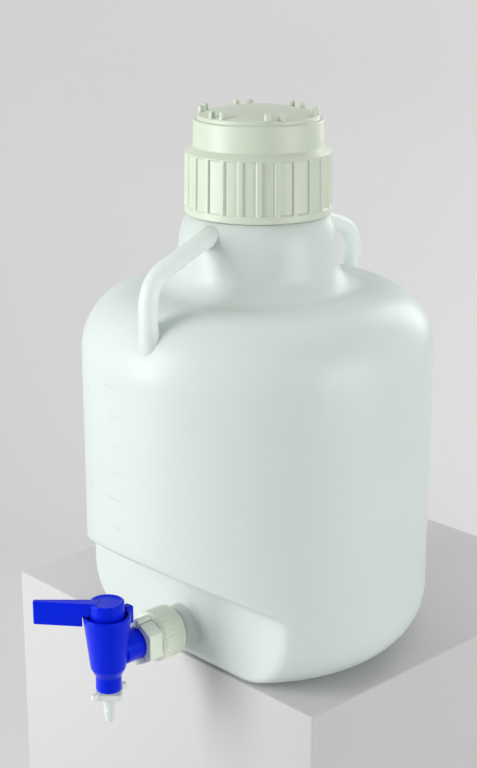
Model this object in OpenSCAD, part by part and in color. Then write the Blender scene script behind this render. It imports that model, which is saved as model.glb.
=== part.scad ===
// Wide-mouth carboy with two moulded handles, a two-step screw cap and a draw-off spigot.
// Origin: centre of the base, on the bottle's axis. +Z is up and the spigot points to -Y.

/* [Bottle] */
// Outside diameter of the barrel
bottle_d = 250; // [236:1:264]
// Height of the flat top of the shoulder
shoulder_h = 265; // [250:1:285]
// Wall thickness of the moulding
wall = 2.5; // [2:0.1:3]
// Radius of the rounded shoulder
shoulder_r = 44; // [40:1:48]
// Radius of the rounded heel
heel_r = 44; // [38:1:48]

/* [Neck] */
// Outside diameter at the foot of the neck
neck_d = 113; // [110:1:118]
// Radius of the hollow between shoulder and neck
neck_fillet_r = 20; // [16:1:22]
// Height of the neck from the shoulder to the ledge under the cap
neck_h = 51.4; // [48:0.2:56]
// Taper of the neck on radius over its lower part
neck_draft = 1; // [0.4:0.1:1.6]
// Radius of the curve that rounds the top of the neck
neck_round_r = 38; // [34:1:44]
// Length of that curve along the neck
neck_round_h = 20.4; // [18:0.2:22]
// Bore of the mouth
mouth_d = 75; // [72:0.5:77]
// Outside diameter of the threaded finish, under its threads
finish_d = 85.2; // [84:0.1:86]
// Height of the finish from the ledge to the lip
finish_h = 58.1; // [56:0.1:60]
// Step on radius from the finish to the lip
lip_step = 2.1; // [1.8:0.1:2.3]
// Drop of that step below the slope inside the cap
lip_step_drop = 0.5; // [0.2:0.1:3]

/* [Cap thread] */
// Rise of the cap in one turn
cap_lead = 8; // [7:0.5:9]
// Turns of thread on the neck
neck_turns = 2; // [1.5:0.25:2.25]
// Turns of thread inside the cap
cap_turns = 1.75; // [1.25:0.25:2]
// Depth of the neck's thread
neck_thread_t = 2.4; // [2:0.1:2.6]
// Height of the lowest thread above the ledge
neck_thread_z = 9.6; // [9:0.2:11]
// Gap between a thread's crest and the wall it faces
crest_gap = 1.1; // [0.8:0.1:1.3]
// Overlap on radius of the two threads
thread_bite = 1.8; // [1.4:0.1:2]

/* [Screw cap] */
// Diameter of the skirt at its lower rim
skirt_d = 102.9; // [102:0.1:105]
// Draft of the skirt on radius
skirt_draft = 0.75; // [0.4:0.05:1]
// Height of the skirt
skirt_h = 42; // [40:0.5:44]
// Height of the sloping ledge above the skirt
cap_ledge_h = 4; // [3:0.5:5]
// Diameter of the crown
crown_d = 89.6; // [89:0.1:91]
// Thickness of the crown's top
cap_top_t = 4; // [3:0.5:5]
// Width of the flat rim round the top disc
disc_rim_w = 2.8; // [2:0.1:3]
// Height of the top disc's edge above the rim
disc_h = 3; // [1.5:0.1:4]
// Rise of the disc's dome above its edge
dome_h = 6; // [3:0.1:8]
// Wall of the crown
crown_wall = 3; // [2.6:0.1:3.2]
// Number of grip ribs on the skirt
rib_count = 26; // [18:1:30]
// Angle from the middle of a pair of pegs to a rib
rib_clock = -4.3; // [-7:0.1:7]
// Width of a grip rib
rib_w = 3.2; // [2.4:0.1:4]
// Depth of the flutes between the ribs
flute_depth = 1.3; // [0.8:0.1:1.5]
// Plain rim below the flutes
skirt_rim_h = 4.8; // [4:0.2:6]
// Plain band above the flutes
skirt_band_h = 2.2; // [1.6:0.2:3]
// Pairs of pegs on top
peg_pairs = 6; // [3:1:8]
// Diameter of a peg
peg_d = 4.4; // [3.6:0.1:4.6]
// Height of a peg above the rim
peg_h = 8.2; // [6:0.2:10]
// Distance of the pegs from the crown's edge
peg_inset = 5.2; // [4.4:0.1:6]
// Angle between the two pegs of a pair
peg_pair_angle = 14.6; // [11:0.2:18]
// How far round the cap's outside stands when it is tight
cap_clock = 31.5; // [0:0.5:59.5]
// Gap between the cap's lower rim and the neck's ledge
cap_foot_gap = 0.6; // [0.4:0.1:1]
// Thickness of the sealing liner in the cap
liner_t = 2.5; // [2:0.1:3.5]
// Gap round the liner
liner_gap = 0.5; // [0.3:0.1:0.8]

/* [Handles] */
// Distance of the handle's outer leg inside the barrel's surface
handle_inset = 9.8; // [8:0.1:12]
// Angle from the spigot to the front handle, seen from above, anticlockwise
handle_clock = 7.5; // [0:0.5:12]
// Thickness of the grip, measured away from the bottle
handle_t = 12.2; // [11:0.1:12.5]
// Width of the grip
handle_w = 13; // [12.5:0.1:14.5]
// Radius of the handle's bend
handle_bend_r = 22.7; // [20:0.1:25]
// Slope of the grip where it leaves the neck
handle_slope = 18.1; // [16:0.1:21]
// Depth of the grip below the neck's ledge, where its middle line meets the neck
handle_drop = 10.1; // [10:0.1:13]
// Length of the flared roots outside the bottle
handle_root_l = 8; // [6:0.5:10]
// Extra radius of the flared roots
handle_root_flare = 2.2; // [1:0.1:2.6]

/* [Graduations] */
// Distance of the upper long mark below the rounded shoulder
mark_gap = 9; // [5:0.5:15]
// Volume between two marks, in cubic centimetres
mark_volume = 946; // [900:1:1000]
// Number of marks
mark_count = 6; // [4:1:6]
// Number of marks from one long mark to the next
mark_group = 4; // [2:1:5]
// How far a mark stands out
mark_t = 0.5; // [0.3:0.1:0.8]
// Height of a mark
mark_w = 1.1; // [0.8:0.1:1.6]
// Angle that a long mark covers
mark_long_angle = 10; // [7:0.5:12]
// Angle that a short mark covers
mark_short_angle = 6; // [3:0.5:7]
// Angle from the spigot to the near end of the marks
mark_start_angle = 2; // [1:0.5:5]

/* [Spigot flat] */
// Depth of the flat behind the barrel's surface
flat_inset = 52; // [48:0.5:54]
// Height of the sloping ledge at the flat
ledge_z = 61.7; // [58:0.1:66]
// Slope of the ledge
ledge_slope = 30; // [24:1:36]
// Radius of the hollow corner under the ledge
ledge_fillet_r = 10; // [7:0.5:12]
// Radius of the flat's lower edge
flat_heel_r = 9; // [6:0.5:9.5]

/* [Outlet boss] */
// Height of the outlet's axis
outlet_z = 26; // [25.5:0.1:28]
// Length of the boss from the flat to its face
boss_l = 24; // [23:0.5:26]
// Diameter of the boss under its thread
boss_d = 26; // [25.5:0.1:26.5]
// Bore of the boss
boss_bore_d = 17; // [14:0.5:18]
// Diameter of the collar at the boss's root
boss_collar_d = 30; // [29:0.5:32]
// Length of that collar
boss_collar_l = 9; // [7:0.5:10]
// Advance of the coupling nut in one turn
nut_lead = 3; // [2.6:0.1:3.4]
// Turns of thread on the boss
boss_turns = 3; // [2:0.5:3]
// Depth of the boss's thread
boss_thread_t = 1.1; // [0.9:0.1:1.2]

/* [Coupling nut] */
// Diameter over the grip ribs
nut_d = 36.6; // [36:0.1:38]
// Length of the nut
nut_l = 19.6; // [18.5:0.1:20.5]
// Number of fine grip ribs
nut_ribs = 60; // [36:1:72]
// Depth of the fine grip ribs
nut_rib_t = 0.5; // [0.3:0.05:0.7]
// Plain shoulder at the nut's front
nut_shoulder_l = 2.2; // [1.6:0.2:3]
// Thickness of the lip that pulls on the inlet's flange
nut_lip_t = 3.6; // [3:0.1:4]
// Turns of thread inside the nut
nut_turns = 2; // [1:0.5:2]
// Length of the split ring in front of the nut
ring_l = 11.6; // [10:0.2:12]
// Width of the split ring across its flats
ring_af = 31; // [30:0.5:32]
// Width of the slit in the ring
ring_slit_w = 1.1; // [0.7:0.1:1.6]
// Length of the short relief slits
ring_relief_l = 7; // [5:0.5:8]
// Angle of the first slit above the horizontal
ring_slit_angle = 75; // [65:1:85]

/* [Spigot body] */
// Thickness of the sealing gasket on the boss
gasket_t = 2.5; // [2:0.1:3]
// Thickness of the inlet's flange
inlet_flange_t = 2.8; // [2.4:0.1:3.2]
// Diameter of the inlet's flange
inlet_flange_d = 26; // [25.6:0.1:26.1]
// Diameter of the inlet pipe
inlet_d = 22.6; // [22:0.1:23]
// Bore of the inlet
inlet_bore_d = 10.6; // [9:0.2:11]
// Distance from the gasket to the valve's axis
valve_reach = 43.5; // [43.2:0.1:46]
// Diameter of the valve barrel at its upper rim
barrel_top_d = 33.6; // [33:0.1:34]
// Diameter of the valve barrel at its lower end
barrel_low_d = 25; // [24.6:0.1:26]
// Height of the barrel's rim above the outlet's axis
barrel_up = 30; // [29:0.5:32]
// Depth of the barrel's lower end below the outlet's axis
barrel_down = 9.5; // [9:0.1:10]
// Height of the shoulder between barrel and spout
barrel_round_h = 5; // [4:0.5:6]
// Diameter of the spout
spout_d = 18.2; // [18:0.1:19]
// Diameter of the passage from the valve down to the spout
passage_d = 8; // [6:0.5:9]
// Depth of the spout's end below the outlet's axis
spout_down = 26.8; // [26:0.1:28]
// Radius of the spout's lower edge
spout_round_r = 1.6; // [1:0.1:2]
// Diameter of the valve bore
plug_d = 21.2; // [20.8:0.1:21.6]
// Diameter of the open well above the valve bore
well_d = 29.2; // [28.6:0.1:29.6]
// Depth of that well
well_h = 8; // [7:0.5:9]
// Reach of the stop lug from the valve's axis
lug_reach = 21; // [20:0.5:22]
// Width of the stop lug
lug_w = 7; // [5:0.5:9]
// Height of the stop lug's top above the barrel's rim
lug_up = 1; // [0.4:0.2:2]
// Height of the stop lug
lug_h = 13; // [9:0.5:13]

/* [Spigot key] */
// Running clearance of the plug on radius
plug_gap = 0.05; // [0.03:0.01:0.1]
// Depth of the plug's lower end below the outlet's axis
plug_down = 8.4; // [8:0.1:8.6]
// Bore inside the plug
plug_bore_d = 13; // [12:0.5:13.5]
// Diameter of the port in the plug's side
port_d = 9.6; // [8:0.2:10]
// Cord diameter of the key's sealing rings
key_seal_d = 1.9; // [1.7:0.1:2]
// Diameter of the key's head
head_d = 24.4; // [24:0.1:25]
// Height of the key's head above the barrel's rim
head_up = 10; // [9:0.5:12]
// Depth of the dish in the head's top
head_dish_h = 0.8; // [0.4:0.1:1.2]
// Distance from the valve's axis to the lever's end
lever_reach = 50.5; // [44:0.5:56]
// Thickness of the lever at its end
lever_tip_w = 4.4; // [3.6:0.1:5.5]
// Thickness of the lever at its root
lever_root_w = 9; // [7:0.5:11]
// Height of the lever blade
lever_h = 17; // [13:0.5:18]
// Gap between the lever blade and the barrel
lever_gap = 0.6; // [0.4:0.1:1.2]
// Angle from straight ahead to the lever, seen from above, clockwise
lever_angle = 43.5; // [0:0.5:90]

/* [Nozzle] */
// Thickness of the washer above the nozzle's flange
washer_t = 1; // [0.8:0.1:1.4]
// Width of the square flange across its flats
nozzle_flange_w = 18.4; // [17:0.2:20]
// Thickness of the square flange
nozzle_flange_t = 4; // [3.4:0.1:5]
// Diameter over the flange's blunt corners
nozzle_corner_d = 24; // [21:0.2:25]
// Reach of the two finger wings from the nozzle's axis
nozzle_wing_reach = 15; // [13:0.5:17]
// Thickness of a finger wing
nozzle_wing_w = 3.4; // [2.6:0.2:5]
// Height of the finger wings above the flange's top
nozzle_wing_up = 1.2; // [0.6:0.2:2.4]
// Diameter of the shank in the spout, under its thread
shank_d = 10.8; // [10.4:0.1:11]
// Length of the shank
shank_l = 9; // [8:0.5:9.5]
// Depth of the shank's thread
shank_thread_t = 1.1; // [0.9:0.1:1.2]
// Advance of the nozzle in one turn
nozzle_lead = 2.5; // [2.2:0.1:3]
// Turns of thread on the shank
shank_turns = 2.5; // [1.5:0.5:3]
// Turns of thread in the spout
spout_turns = 1.5; // [1:0.5:2]
// Diameter of the hose tail at the flange
tail_root_d = 9.4; // [8.8:0.1:10.4]
// Diameter of the hose tail above the barb
tail_d = 7.2; // [6.8:0.1:7.6]
// Length of the hose tail
tail_l = 19.6; // [17:0.2:23]
// Diameter of the hose tail at its end
tail_tip_d = 5.8; // [5.4:0.1:6.4]
// Diameter over the barb
barb_d = 8.2; // [7.8:0.1:9]
// Distance of the barb above the tail's end
barb_up = 8.7; // [7:0.1:10]
// Bore of the nozzle
nozzle_bore_d = 4; // [3:0.1:4.6]

/* [Hidden] */
$fn = 96;

// General
eps = 0.05;
over = 1;
far = 400;
arc_steps = 10;
face_gap = 0.2;

// Bottle
bottle_r = bottle_d / 2;
neck_r = neck_d / 2;
ledge_top_z = shoulder_h + neck_h;
neck_round_z = ledge_top_z - neck_round_h;
finish_r = finish_d / 2;
mouth_r = mouth_d / 2;
lip_r = finish_r - lip_step;
lip_z = ledge_top_z + finish_h;

// Cap thread
neck_crest_r = finish_r + neck_thread_t;
skirt_bore_r = neck_crest_r + crest_gap;
cap_crest_r = neck_crest_r - thread_bite;
thread_root_w = 3.4;
thread_crest_w = 2.2;
thread_sink = 0.5;
neck_thread_bottom = ledge_top_z + neck_thread_z;

// Cap
skirt_z = ledge_top_z + cap_foot_gap;
skirt_top_z = skirt_z + skirt_h;
crown_r = crown_d / 2;
crown_bore_r = crown_r - crown_wall;
crown_z = skirt_top_z + cap_ledge_h;
crown_foot_round = 0.5;
crown_edge_round = 0.8;
cap_slope_wall = 2;
cap_slope_z = crown_z - cap_slope_wall;
finish_step_z = cap_slope_z - lip_step_drop;
cap_roof_z = lip_z + liner_t;
cap_top_z = cap_roof_z + cap_top_t;
skirt_top_r = skirt_d / 2 - skirt_draft;
rib_root_r = skirt_top_r - flute_depth;
disc_r = crown_r - disc_rim_w;
disc_edge_round = 0.6;
disc_z = cap_top_z + disc_h;
disc_flat_w = 1;
dome_r = disc_r - disc_flat_w;
dome_sphere_r = (dome_r * dome_r + dome_h * dome_h) / (2 * dome_h);
dome_centre_z = disc_z + dome_h - dome_sphere_r;
liner_reach = 4;
liner_bore_r = mouth_r - liner_reach;

// Handles
handle_leg_r = bottle_r - handle_inset;
handle_root_in = 10;
handle_root_x = neck_r - handle_root_in;
handle_root_z = ledge_top_z - handle_drop + handle_root_in * tan(handle_slope);
handle_root_r = handle_w / 2 + handle_root_flare;
handle_bend_angle = 90 - handle_slope;
handle_bend_x = handle_leg_r - handle_bend_r;
handle_bend_end_x = handle_bend_x + handle_bend_r * cos(handle_bend_angle);
handle_grip_l = (handle_bend_end_x - handle_root_x) / cos(handle_slope);
handle_bend_end_z = handle_root_z - handle_grip_l * sin(handle_slope);
handle_bend_z = handle_bend_end_z - handle_bend_r * sin(handle_bend_angle);
shoulder_centre_z = shoulder_h - shoulder_r;
handle_foot_sink = 2.5;
handle_flare_sink = 0.15;
handle_bar_step = 0.05;
handle_overlap = 1;
handle_foot_z = shoulder_z(handle_leg_r + handle_t / 2) - handle_foot_sink;
handle_foot_top_z = shoulder_z(handle_leg_r) + 1.5 * handle_root_l;

// Graduations
inside_r = bottle_r - wall;
mark_pitch = mark_volume * 1000 / (PI * inside_r * inside_r);
mark_top_z = shoulder_centre_z - mark_gap;

// Outlet, measured along the outlet's axis from the bottle's axis
flat_s = bottle_r - flat_inset;
boss_face_s = flat_s + boss_l;
gasket_face_s = boss_face_s + gasket_t;
inlet_front_s = gasket_face_s + inlet_flange_t;
nut_lip_s = inlet_front_s + face_gap;
nut_front_s = nut_lip_s + nut_lip_t;
nut_rear_s = nut_front_s - nut_l;
ring_s = nut_front_s + face_gap;
valve_s = gasket_face_s + valve_reach;
boss_crest_r = boss_d / 2 + boss_thread_t;
small_crest_gap = 0.4;
small_bite = 0.75;
small_root_w = 1.1;
small_crest_w = 0.7;
nut_bore_r = boss_crest_r + small_crest_gap;
nut_crest_r = boss_crest_r - small_bite;
nut_edge_step = 0.2;
nut_chamfer = 1.8;
nut_lip_gap = 0.4;
ring_rear_corner = 1.7;
ring_front_corner = 0.8;
boss_thread_s = boss_face_s - boss_turns * nut_lead - small_root_w;
fit_gap = 0.08;

// Valve, measured upwards
rim_z = outlet_z + barrel_up;
barrel_low_z = outlet_z - barrel_down;
spout_top_z = barrel_low_z - barrel_round_h;
spout_end_z = outlet_z - spout_down;
plug_low_z = outlet_z - plug_down;
well_z = rim_z - well_h;
plug_r = plug_d / 2 - plug_gap;
rim_chamfer = 1;
spout_bore_r = shank_d / 2 + shank_thread_t + small_crest_gap;
shank_end_gap = 1.5;
seal_groove_r = plug_r - key_seal_d - plug_gap;
groove_gap = 0.1;
seal_up = 12.5;
seal_down = 6.7;
seal_upper_z = outlet_z + seal_up;
seal_lower_z = outlet_z - seal_down;
key_neck_step = 1;
head_gap = 2;
head_z = well_z + head_gap;
head_top_z = rim_z + head_up;
head_chamfer = 1;
dish_rim_w = 3;
port_cover = 2;
lever_top_z = head_top_z + 0.4;
lever_z = lever_top_z - lever_h;
lever_web_z = rim_z + 1;
lever_end_round = 1;
lever_inner_r = barrel_top_d / 2 + lever_gap;
washer_gap = 0.1;
wing_gap = 0.8;

// Nozzle
flange_top_z = spout_end_z - washer_t;
flange_low_z = flange_top_z - nozzle_flange_t;
tail_end_z = flange_low_z - tail_l;
barb_back_h = 0.6;
shank_thread_low_z = spout_end_z + 1.4;
spout_crest_r = shank_d / 2 + shank_thread_t - small_bite;

cap_grey = "#DDE3D3";
milk_white = "#E9EEEC";
royal_blue = "#0A22D8";
natural_white = "#EEF1EA";
seal_grey = "#8E9290";

// ---- Shared shapes ----

// One ridge of a screw thread that climbs along +Z. Negative depths cut inwards from root_r.
// The first and last eighth of a turn fade into the wall.
function ridge_points(root_r, crest_r, lead, turns, root_w, crest_w, steps) = [
    for (i = [0 : steps])
        let (
            turn = turns * i / steps,
            a = 360 * turn,
            z = lead * turn,
            fade = min(1, 8 * turn, 8 * (turns - turn)),
            tip_r = root_r + (crest_r - root_r) * max(fade, 0.06)
        )
        each [
            [root_r * cos(a), root_r * sin(a), z - root_w / 2],
            [tip_r * cos(a), tip_r * sin(a), z - crest_w / 2],
            [tip_r * cos(a), tip_r * sin(a), z + crest_w / 2],
            [root_r * cos(a), root_r * sin(a), z + root_w / 2]
        ]
];

function ridge_faces(steps, outward) = let (
    side = [
        for (i = [0 : steps - 1], k = [0 : 3])
            let (
                a = 4 * i + k,
                b = 4 * i + (k + 1) % 4,
                c = b + 4,
                d = a + 4
            )
            each [[a, b, c], [a, c, d]]
    ],
    last = 4 * steps,
    ends = [[0, 2, 1], [0, 3, 2], [last, last + 1, last + 2], [last, last + 2, last + 3]],
    all = concat(side, ends)
) outward ? all : [for (f = all) [f[2], f[1], f[0]]];

module thread_ridge(root_r, crest_r, lead, turns, root_w, crest_w, per_turn) {
    steps = ceil(turns * per_turn);
    polyhedron(
        points = ridge_points(root_r, crest_r, lead, turns, root_w, crest_w, steps),
        faces = ridge_faces(steps, crest_r > root_r)
    );
}

// Turns local Z to the outlet's direction, with local Y upwards, at the outlet's height
module on_outlet() {
    translate([0, 0, outlet_z]) rotate([90, 0, 0]) children();
}

module ring_solid(outer_r, inner_r, height) {
    difference() {
        cylinder(r = outer_r, h = height);
        translate([0, 0, -eps]) cylinder(r = inner_r, h = height + 2 * eps);
    }
}

// ---- Bottle ----

// Half outline of the barrel, heel and shoulder, moved inwards by inset
module barrel_outline(inset) {
    r = bottle_r - inset;
    heel = heel_r - inset;
    shoulder = shoulder_r - inset;
    low = inset;
    high = shoulder_h - inset;
    union() {
        translate([0, low]) square([bottle_r - heel_r, heel]);
        translate([0, heel_r]) square([r, shoulder_centre_z - heel_r]);
        translate([0, shoulder_centre_z]) square([bottle_r - shoulder_r, high - shoulder_centre_z]);
        intersection() {
            translate([bottle_r - heel_r, heel_r]) circle(r = heel, $fn = 192);
            translate([0, low]) square([r, heel]);
        }
        intersection() {
            translate([bottle_r - shoulder_r, shoulder_centre_z]) circle(r = shoulder, $fn = 192);
            translate([0, shoulder_centre_z]) square([r, shoulder]);
        }
    }
}

// Half outline of the neck up to the ledge, moved inwards by inset
module neck_outline(inset) {
    low = shoulder_h - inset;
    fillet_z = shoulder_h + neck_fillet_r;
    round_r = neck_r - neck_draft;
    difference() {
        translate([0, low]) square([neck_r + neck_fillet_r, neck_fillet_r + inset]);
        translate([neck_r + neck_fillet_r, fillet_z])
            circle(r = neck_fillet_r + inset, $fn = 192);
    }
    polygon([
        [0, fillet_z],
        [neck_r - inset, fillet_z],
        [round_r - inset, neck_round_z],
        [0, neck_round_z]
    ]);
    intersection() {
        translate([round_r - neck_round_r, neck_round_z])
            circle(r = neck_round_r - inset, $fn = 288);
        translate([0, neck_round_z]) square([neck_r, neck_round_h - inset]);
    }
}

module finish_outline() {
    polygon([
        [0, ledge_top_z - eps],
        [finish_r, ledge_top_z - eps],
        [finish_r, finish_step_z - lip_step],
        [lip_r, finish_step_z],
        [lip_r, lip_z],
        [0, lip_z]
    ]);
}

// Points on an arc round a centre, from one angle to another
function arc_points(centre, r, from_angle, to_angle, steps) = [
    for (i = [0 : steps])
        let (a = from_angle + (to_angle - from_angle) * i / steps)
        centre + r * [cos(a), sin(a)]
];

// Side outline of the space in front of the spigot flat, grown into the bottle by grow
module recess_outline(grow) {
    s = flat_s - grow;
    low = grow;
    heel = flat_heel_r - grow;
    fillet = ledge_fillet_r + grow;
    corner_z = ledge_z + grow / cos(ledge_slope) - grow * tan(ledge_slope);
    half_corner = 45 + ledge_slope / 2;
    fillet_z = corner_z - fillet / tan(half_corner);
    polygon(concat(
        [[s + far, low - 1], [s - heel, low - 1]],
        arc_points([s - heel, low + heel], heel, -90, 0, arc_steps),
        arc_points([s + fillet, fillet_z], fillet, 180, 90 + ledge_slope, arc_steps),
        [[s + far, corner_z + far * tan(ledge_slope)]]
    ));
}

module recess_cut(grow) {
    rotate([0, 0, -90]) rotate([90, 0, 0])
        linear_extrude(height = far, center = true) recess_outline(grow);
}

// Height of the shoulder's surface at a distance from the bottle's axis
function shoulder_z(r) = shoulder_centre_z + sqrt(pow(shoulder_r, 2) - pow(r - bottle_r + shoulder_r, 2));

// A cone along +Z from a wide end at the origin. Its -X side runs just inside the handle's face.
module root_flare(length) {
    narrow_r = handle_t / 2 - handle_flare_sink;
    shift = handle_root_r - narrow_r;
    lean = atan(shift / length);
    translate([shift, 0, 0]) rotate([0, -lean, 0])
        cylinder(r1 = handle_root_r, r2 = narrow_r, h = length / cos(lean));
}

module handle_section(inset) {
    half_gap = (handle_w - handle_t) / 2;
    side_r = handle_t / 2 - inset;
    for (side = [-1, 1]) translate([0, side * half_gap]) circle(r = side_r, $fn = 64);
    square([2 * side_r, 2 * half_gap], center = true);
}

// A handle in the XZ plane, running out along +X
module handle() {
    translate([handle_bend_x, 0, handle_bend_z]) rotate([90, 0, 0])
        rotate_extrude(angle = handle_bend_angle)
            translate([handle_bend_r, 0]) handle_section(0);
    translate([handle_leg_r, 0, handle_foot_z])
        linear_extrude(height = handle_bend_z + handle_overlap - handle_foot_z)
            handle_section(handle_bar_step);
    translate([handle_leg_r, 0, handle_foot_z]) rotate([0, 0, 180])
        root_flare(handle_foot_top_z - handle_foot_z);
    translate([handle_bend_end_x, 0, handle_bend_end_z]) rotate([0, -90 + handle_slope, 0])
        translate([0, 0, -handle_overlap])
            linear_extrude(height = handle_grip_l + handle_overlap) handle_section(handle_bar_step);
    translate([handle_root_x, 0, handle_root_z]) rotate([0, 90 + handle_slope, 0])
        root_flare(handle_root_in + handle_root_l);
}

module graduation_marks() {
    for (k = [0 : mark_count - 1]) {
        long = (k % mark_group == 0);
        angle = long ? mark_long_angle : mark_short_angle;
        translate([0, 0, mark_top_z - k * mark_pitch])
            rotate([0, 0, -90 - mark_start_angle - angle])
                rotate_extrude(angle = angle)
                    translate([bottle_r - wall / 2, -mark_w / 2])
                        square([wall / 2 + mark_t, mark_w]);
    }
}

module neck_thread() {
    translate([0, 0, neck_thread_bottom])
        thread_ridge(finish_r - thread_sink, neck_crest_r, cap_lead, neck_turns,
            thread_root_w, thread_crest_w, 36);
}

module boss_thread() {
    translate([0, 0, boss_thread_s])
        thread_ridge(boss_d / 2 - thread_sink, boss_crest_r, nut_lead, boss_turns,
            small_root_w, small_crest_w, 24);
}

module carboy_body() {
    color(milk_white) {
        difference() {
            union() {
                difference() {
                    rotate_extrude() {
                        barrel_outline(0);
                        neck_outline(0);
                        finish_outline();
                    }
                    recess_cut(0);
                }
                for (turn = [-90, 90]) rotate([0, 0, turn + handle_clock]) handle();
                on_outlet() {
                    translate([0, 0, flat_s - wall / 2])
                        cylinder(d = boss_collar_d, h = boss_collar_l + wall / 2);
                    translate([0, 0, flat_s]) cylinder(d = boss_d, h = boss_l);
                    boss_thread();
                }
                neck_thread();
                graduation_marks();
            }
            difference() {
                rotate_extrude() {
                    barrel_outline(wall);
                    neck_outline(wall);
                }
                recess_cut(wall);
            }
            translate([0, 0, shoulder_h]) cylinder(r = mouth_r, h = far);
            on_outlet() translate([0, 0, flat_s - flat_inset / 2])
                cylinder(d = boss_bore_d, h = far);
        }
    }
}

// ---- Cap ----

module cap_outer_outline() {
    polygon([
        [0, skirt_z],
        [skirt_d / 2, skirt_z],
        [skirt_top_r, skirt_top_z],
        [crown_r + crown_foot_round, crown_z],
        [crown_r, crown_z + crown_foot_round],
        [crown_r, cap_top_z - crown_edge_round],
        [crown_r - crown_edge_round, cap_top_z],
        [disc_r + disc_edge_round, cap_top_z],
        [disc_r, cap_top_z + disc_edge_round],
        [disc_r, disc_z - disc_edge_round],
        [disc_r - disc_edge_round, disc_z],
        [0, disc_z]
    ]);
    intersection() {
        translate([0, dome_centre_z]) circle(r = dome_sphere_r, $fn = 1440);
        translate([0, disc_z - eps]) square([dome_r, dome_h + 2 * eps]);
    }
}

// The space inside: skirt, crown and the hollow under the dome
module cap_inner_outline() {
    polygon([
        [0, skirt_z - over],
        [skirt_bore_r, skirt_z - over],
        [skirt_bore_r, cap_slope_z - (skirt_bore_r - crown_bore_r)],
        [crown_bore_r, cap_slope_z],
        [crown_bore_r, cap_roof_z],
        [0, cap_roof_z]
    ]);
    intersection() {
        translate([0, dome_centre_z]) circle(r = dome_sphere_r - cap_top_t, $fn = 1440);
        translate([0, cap_roof_z - over]) square([liner_bore_r, dome_sphere_r]);
    }
}

module flutes() {
    low = skirt_z + skirt_rim_h;
    high = skirt_top_z - skirt_band_h;
    translate([0, 0, low]) linear_extrude(height = high - low) difference() {
        circle(r = skirt_d);
        circle(r = rib_root_r);
        for (k = [0 : rib_count - 1]) rotate(cap_clock + rib_clock + k * 360 / rib_count)
            translate([rib_root_r - over, -rib_w / 2]) square([skirt_d, rib_w]);
    }
}

module pegs() {
    straight = peg_h - peg_d / 2;
    for (k = [0 : peg_pairs - 1], side = [-1, 1])
        rotate([0, 0, cap_clock + k * 360 / peg_pairs + side * peg_pair_angle / 2])
            translate([crown_r - peg_inset, 0, cap_top_z - over]) {
                cylinder(d = peg_d, h = straight + over, $fn = 32);
                translate([0, 0, straight + over]) sphere(d = peg_d, $fn = 32);
            }
}

module cap_thread() {
    translate([0, 0, neck_thread_bottom - cap_lead / 2])
        thread_ridge(skirt_bore_r + thread_sink, cap_crest_r, cap_lead, cap_turns,
            thread_root_w, thread_crest_w, 36);
}

module screw_cap() {
    color(cap_grey) {
        difference() {
            rotate_extrude() difference() {
                cap_outer_outline();
                cap_inner_outline();
            }
            flutes();
        }
        pegs();
        cap_thread();
    }
}

module cap_liner() {
    color(seal_grey) translate([0, 0, lip_z])
        ring_solid(crown_bore_r - liner_gap, liner_bore_r, liner_t);
}

// ---- Coupling ----

module outlet_gasket() {
    color(seal_grey) on_outlet() translate([0, 0, boss_face_s])
        ring_solid(inlet_flange_d / 2, inlet_bore_d / 2, gasket_t);
}

module nut_grip_outline() {
    root_r = nut_d / 2 - nut_rib_t;
    pitch = 360 / nut_ribs;
    rib = PI * root_r / nut_ribs;
    circle(r = root_r);
    for (k = [0 : nut_ribs - 1]) rotate(k * pitch)
        translate([root_r - over, -rib / 2]) square([over + nut_rib_t, rib]);
}

module nut_thread() {
    translate([0, 0, boss_thread_s + (boss_turns - nut_turns + 0.5) * nut_lead])
        thread_ridge(nut_bore_r + thread_sink, nut_crest_r, nut_lead, nut_turns,
            small_root_w, small_crest_w, 24);
}

module coupling_nut() {
    grip_l = nut_l - nut_shoulder_l;
    color(cap_grey) on_outlet() {
        difference() {
            union() {
                translate([0, 0, nut_rear_s]) linear_extrude(height = grip_l) nut_grip_outline();
                translate([0, 0, nut_rear_s + grip_l])
                    cylinder(r1 = nut_d / 2 - nut_edge_step, r2 = nut_d / 2 - nut_chamfer,
                        h = nut_shoulder_l);
            }
            translate([0, 0, nut_rear_s - over])
                cylinder(r = nut_bore_r, h = nut_lip_s - nut_rear_s + over);
            translate([0, 0, nut_lip_s - over])
                cylinder(r = inlet_d / 2 + nut_lip_gap, h = nut_lip_t + 2 * over);
        }
        nut_thread();
    }
}

// Split ring on the inlet pipe, in front of the nut: six flats, one slit and two relief slits
module split_ring() {
    color(cap_grey) on_outlet() translate([0, 0, ring_s]) difference() {
        intersection() {
            rotate([0, 0, 30]) cylinder(d = ring_af / cos(30), h = ring_l, $fn = 6);
            cylinder(r1 = ring_af / 2 + ring_rear_corner, r2 = ring_af / 2 + ring_front_corner,
                h = ring_l);
        }
        translate([0, 0, -over]) cylinder(r = inlet_d / 2 + fit_gap, h = ring_l + 2 * over);
        rotate([0, 0, ring_slit_angle]) translate([0, -ring_slit_w / 2, -over])
            cube([ring_af, ring_slit_w, ring_l + 2 * over]);
        for (k = [1, 2]) rotate([0, 0, ring_slit_angle + 120 * k])
            translate([0, -ring_slit_w / 2, ring_l - ring_relief_l])
                cube([ring_af, ring_slit_w, ring_relief_l + over]);
    }
}

// ---- Spigot ----

module at_valve() {
    translate([0, -valve_s, 0]) children();
}

module spout_thread() {
    translate([0, 0, shank_thread_low_z + nozzle_lead / 2])
        thread_ridge(spout_bore_r + thread_sink, spout_crest_r, nozzle_lead, spout_turns,
            small_root_w, small_crest_w, 24);
}

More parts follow.
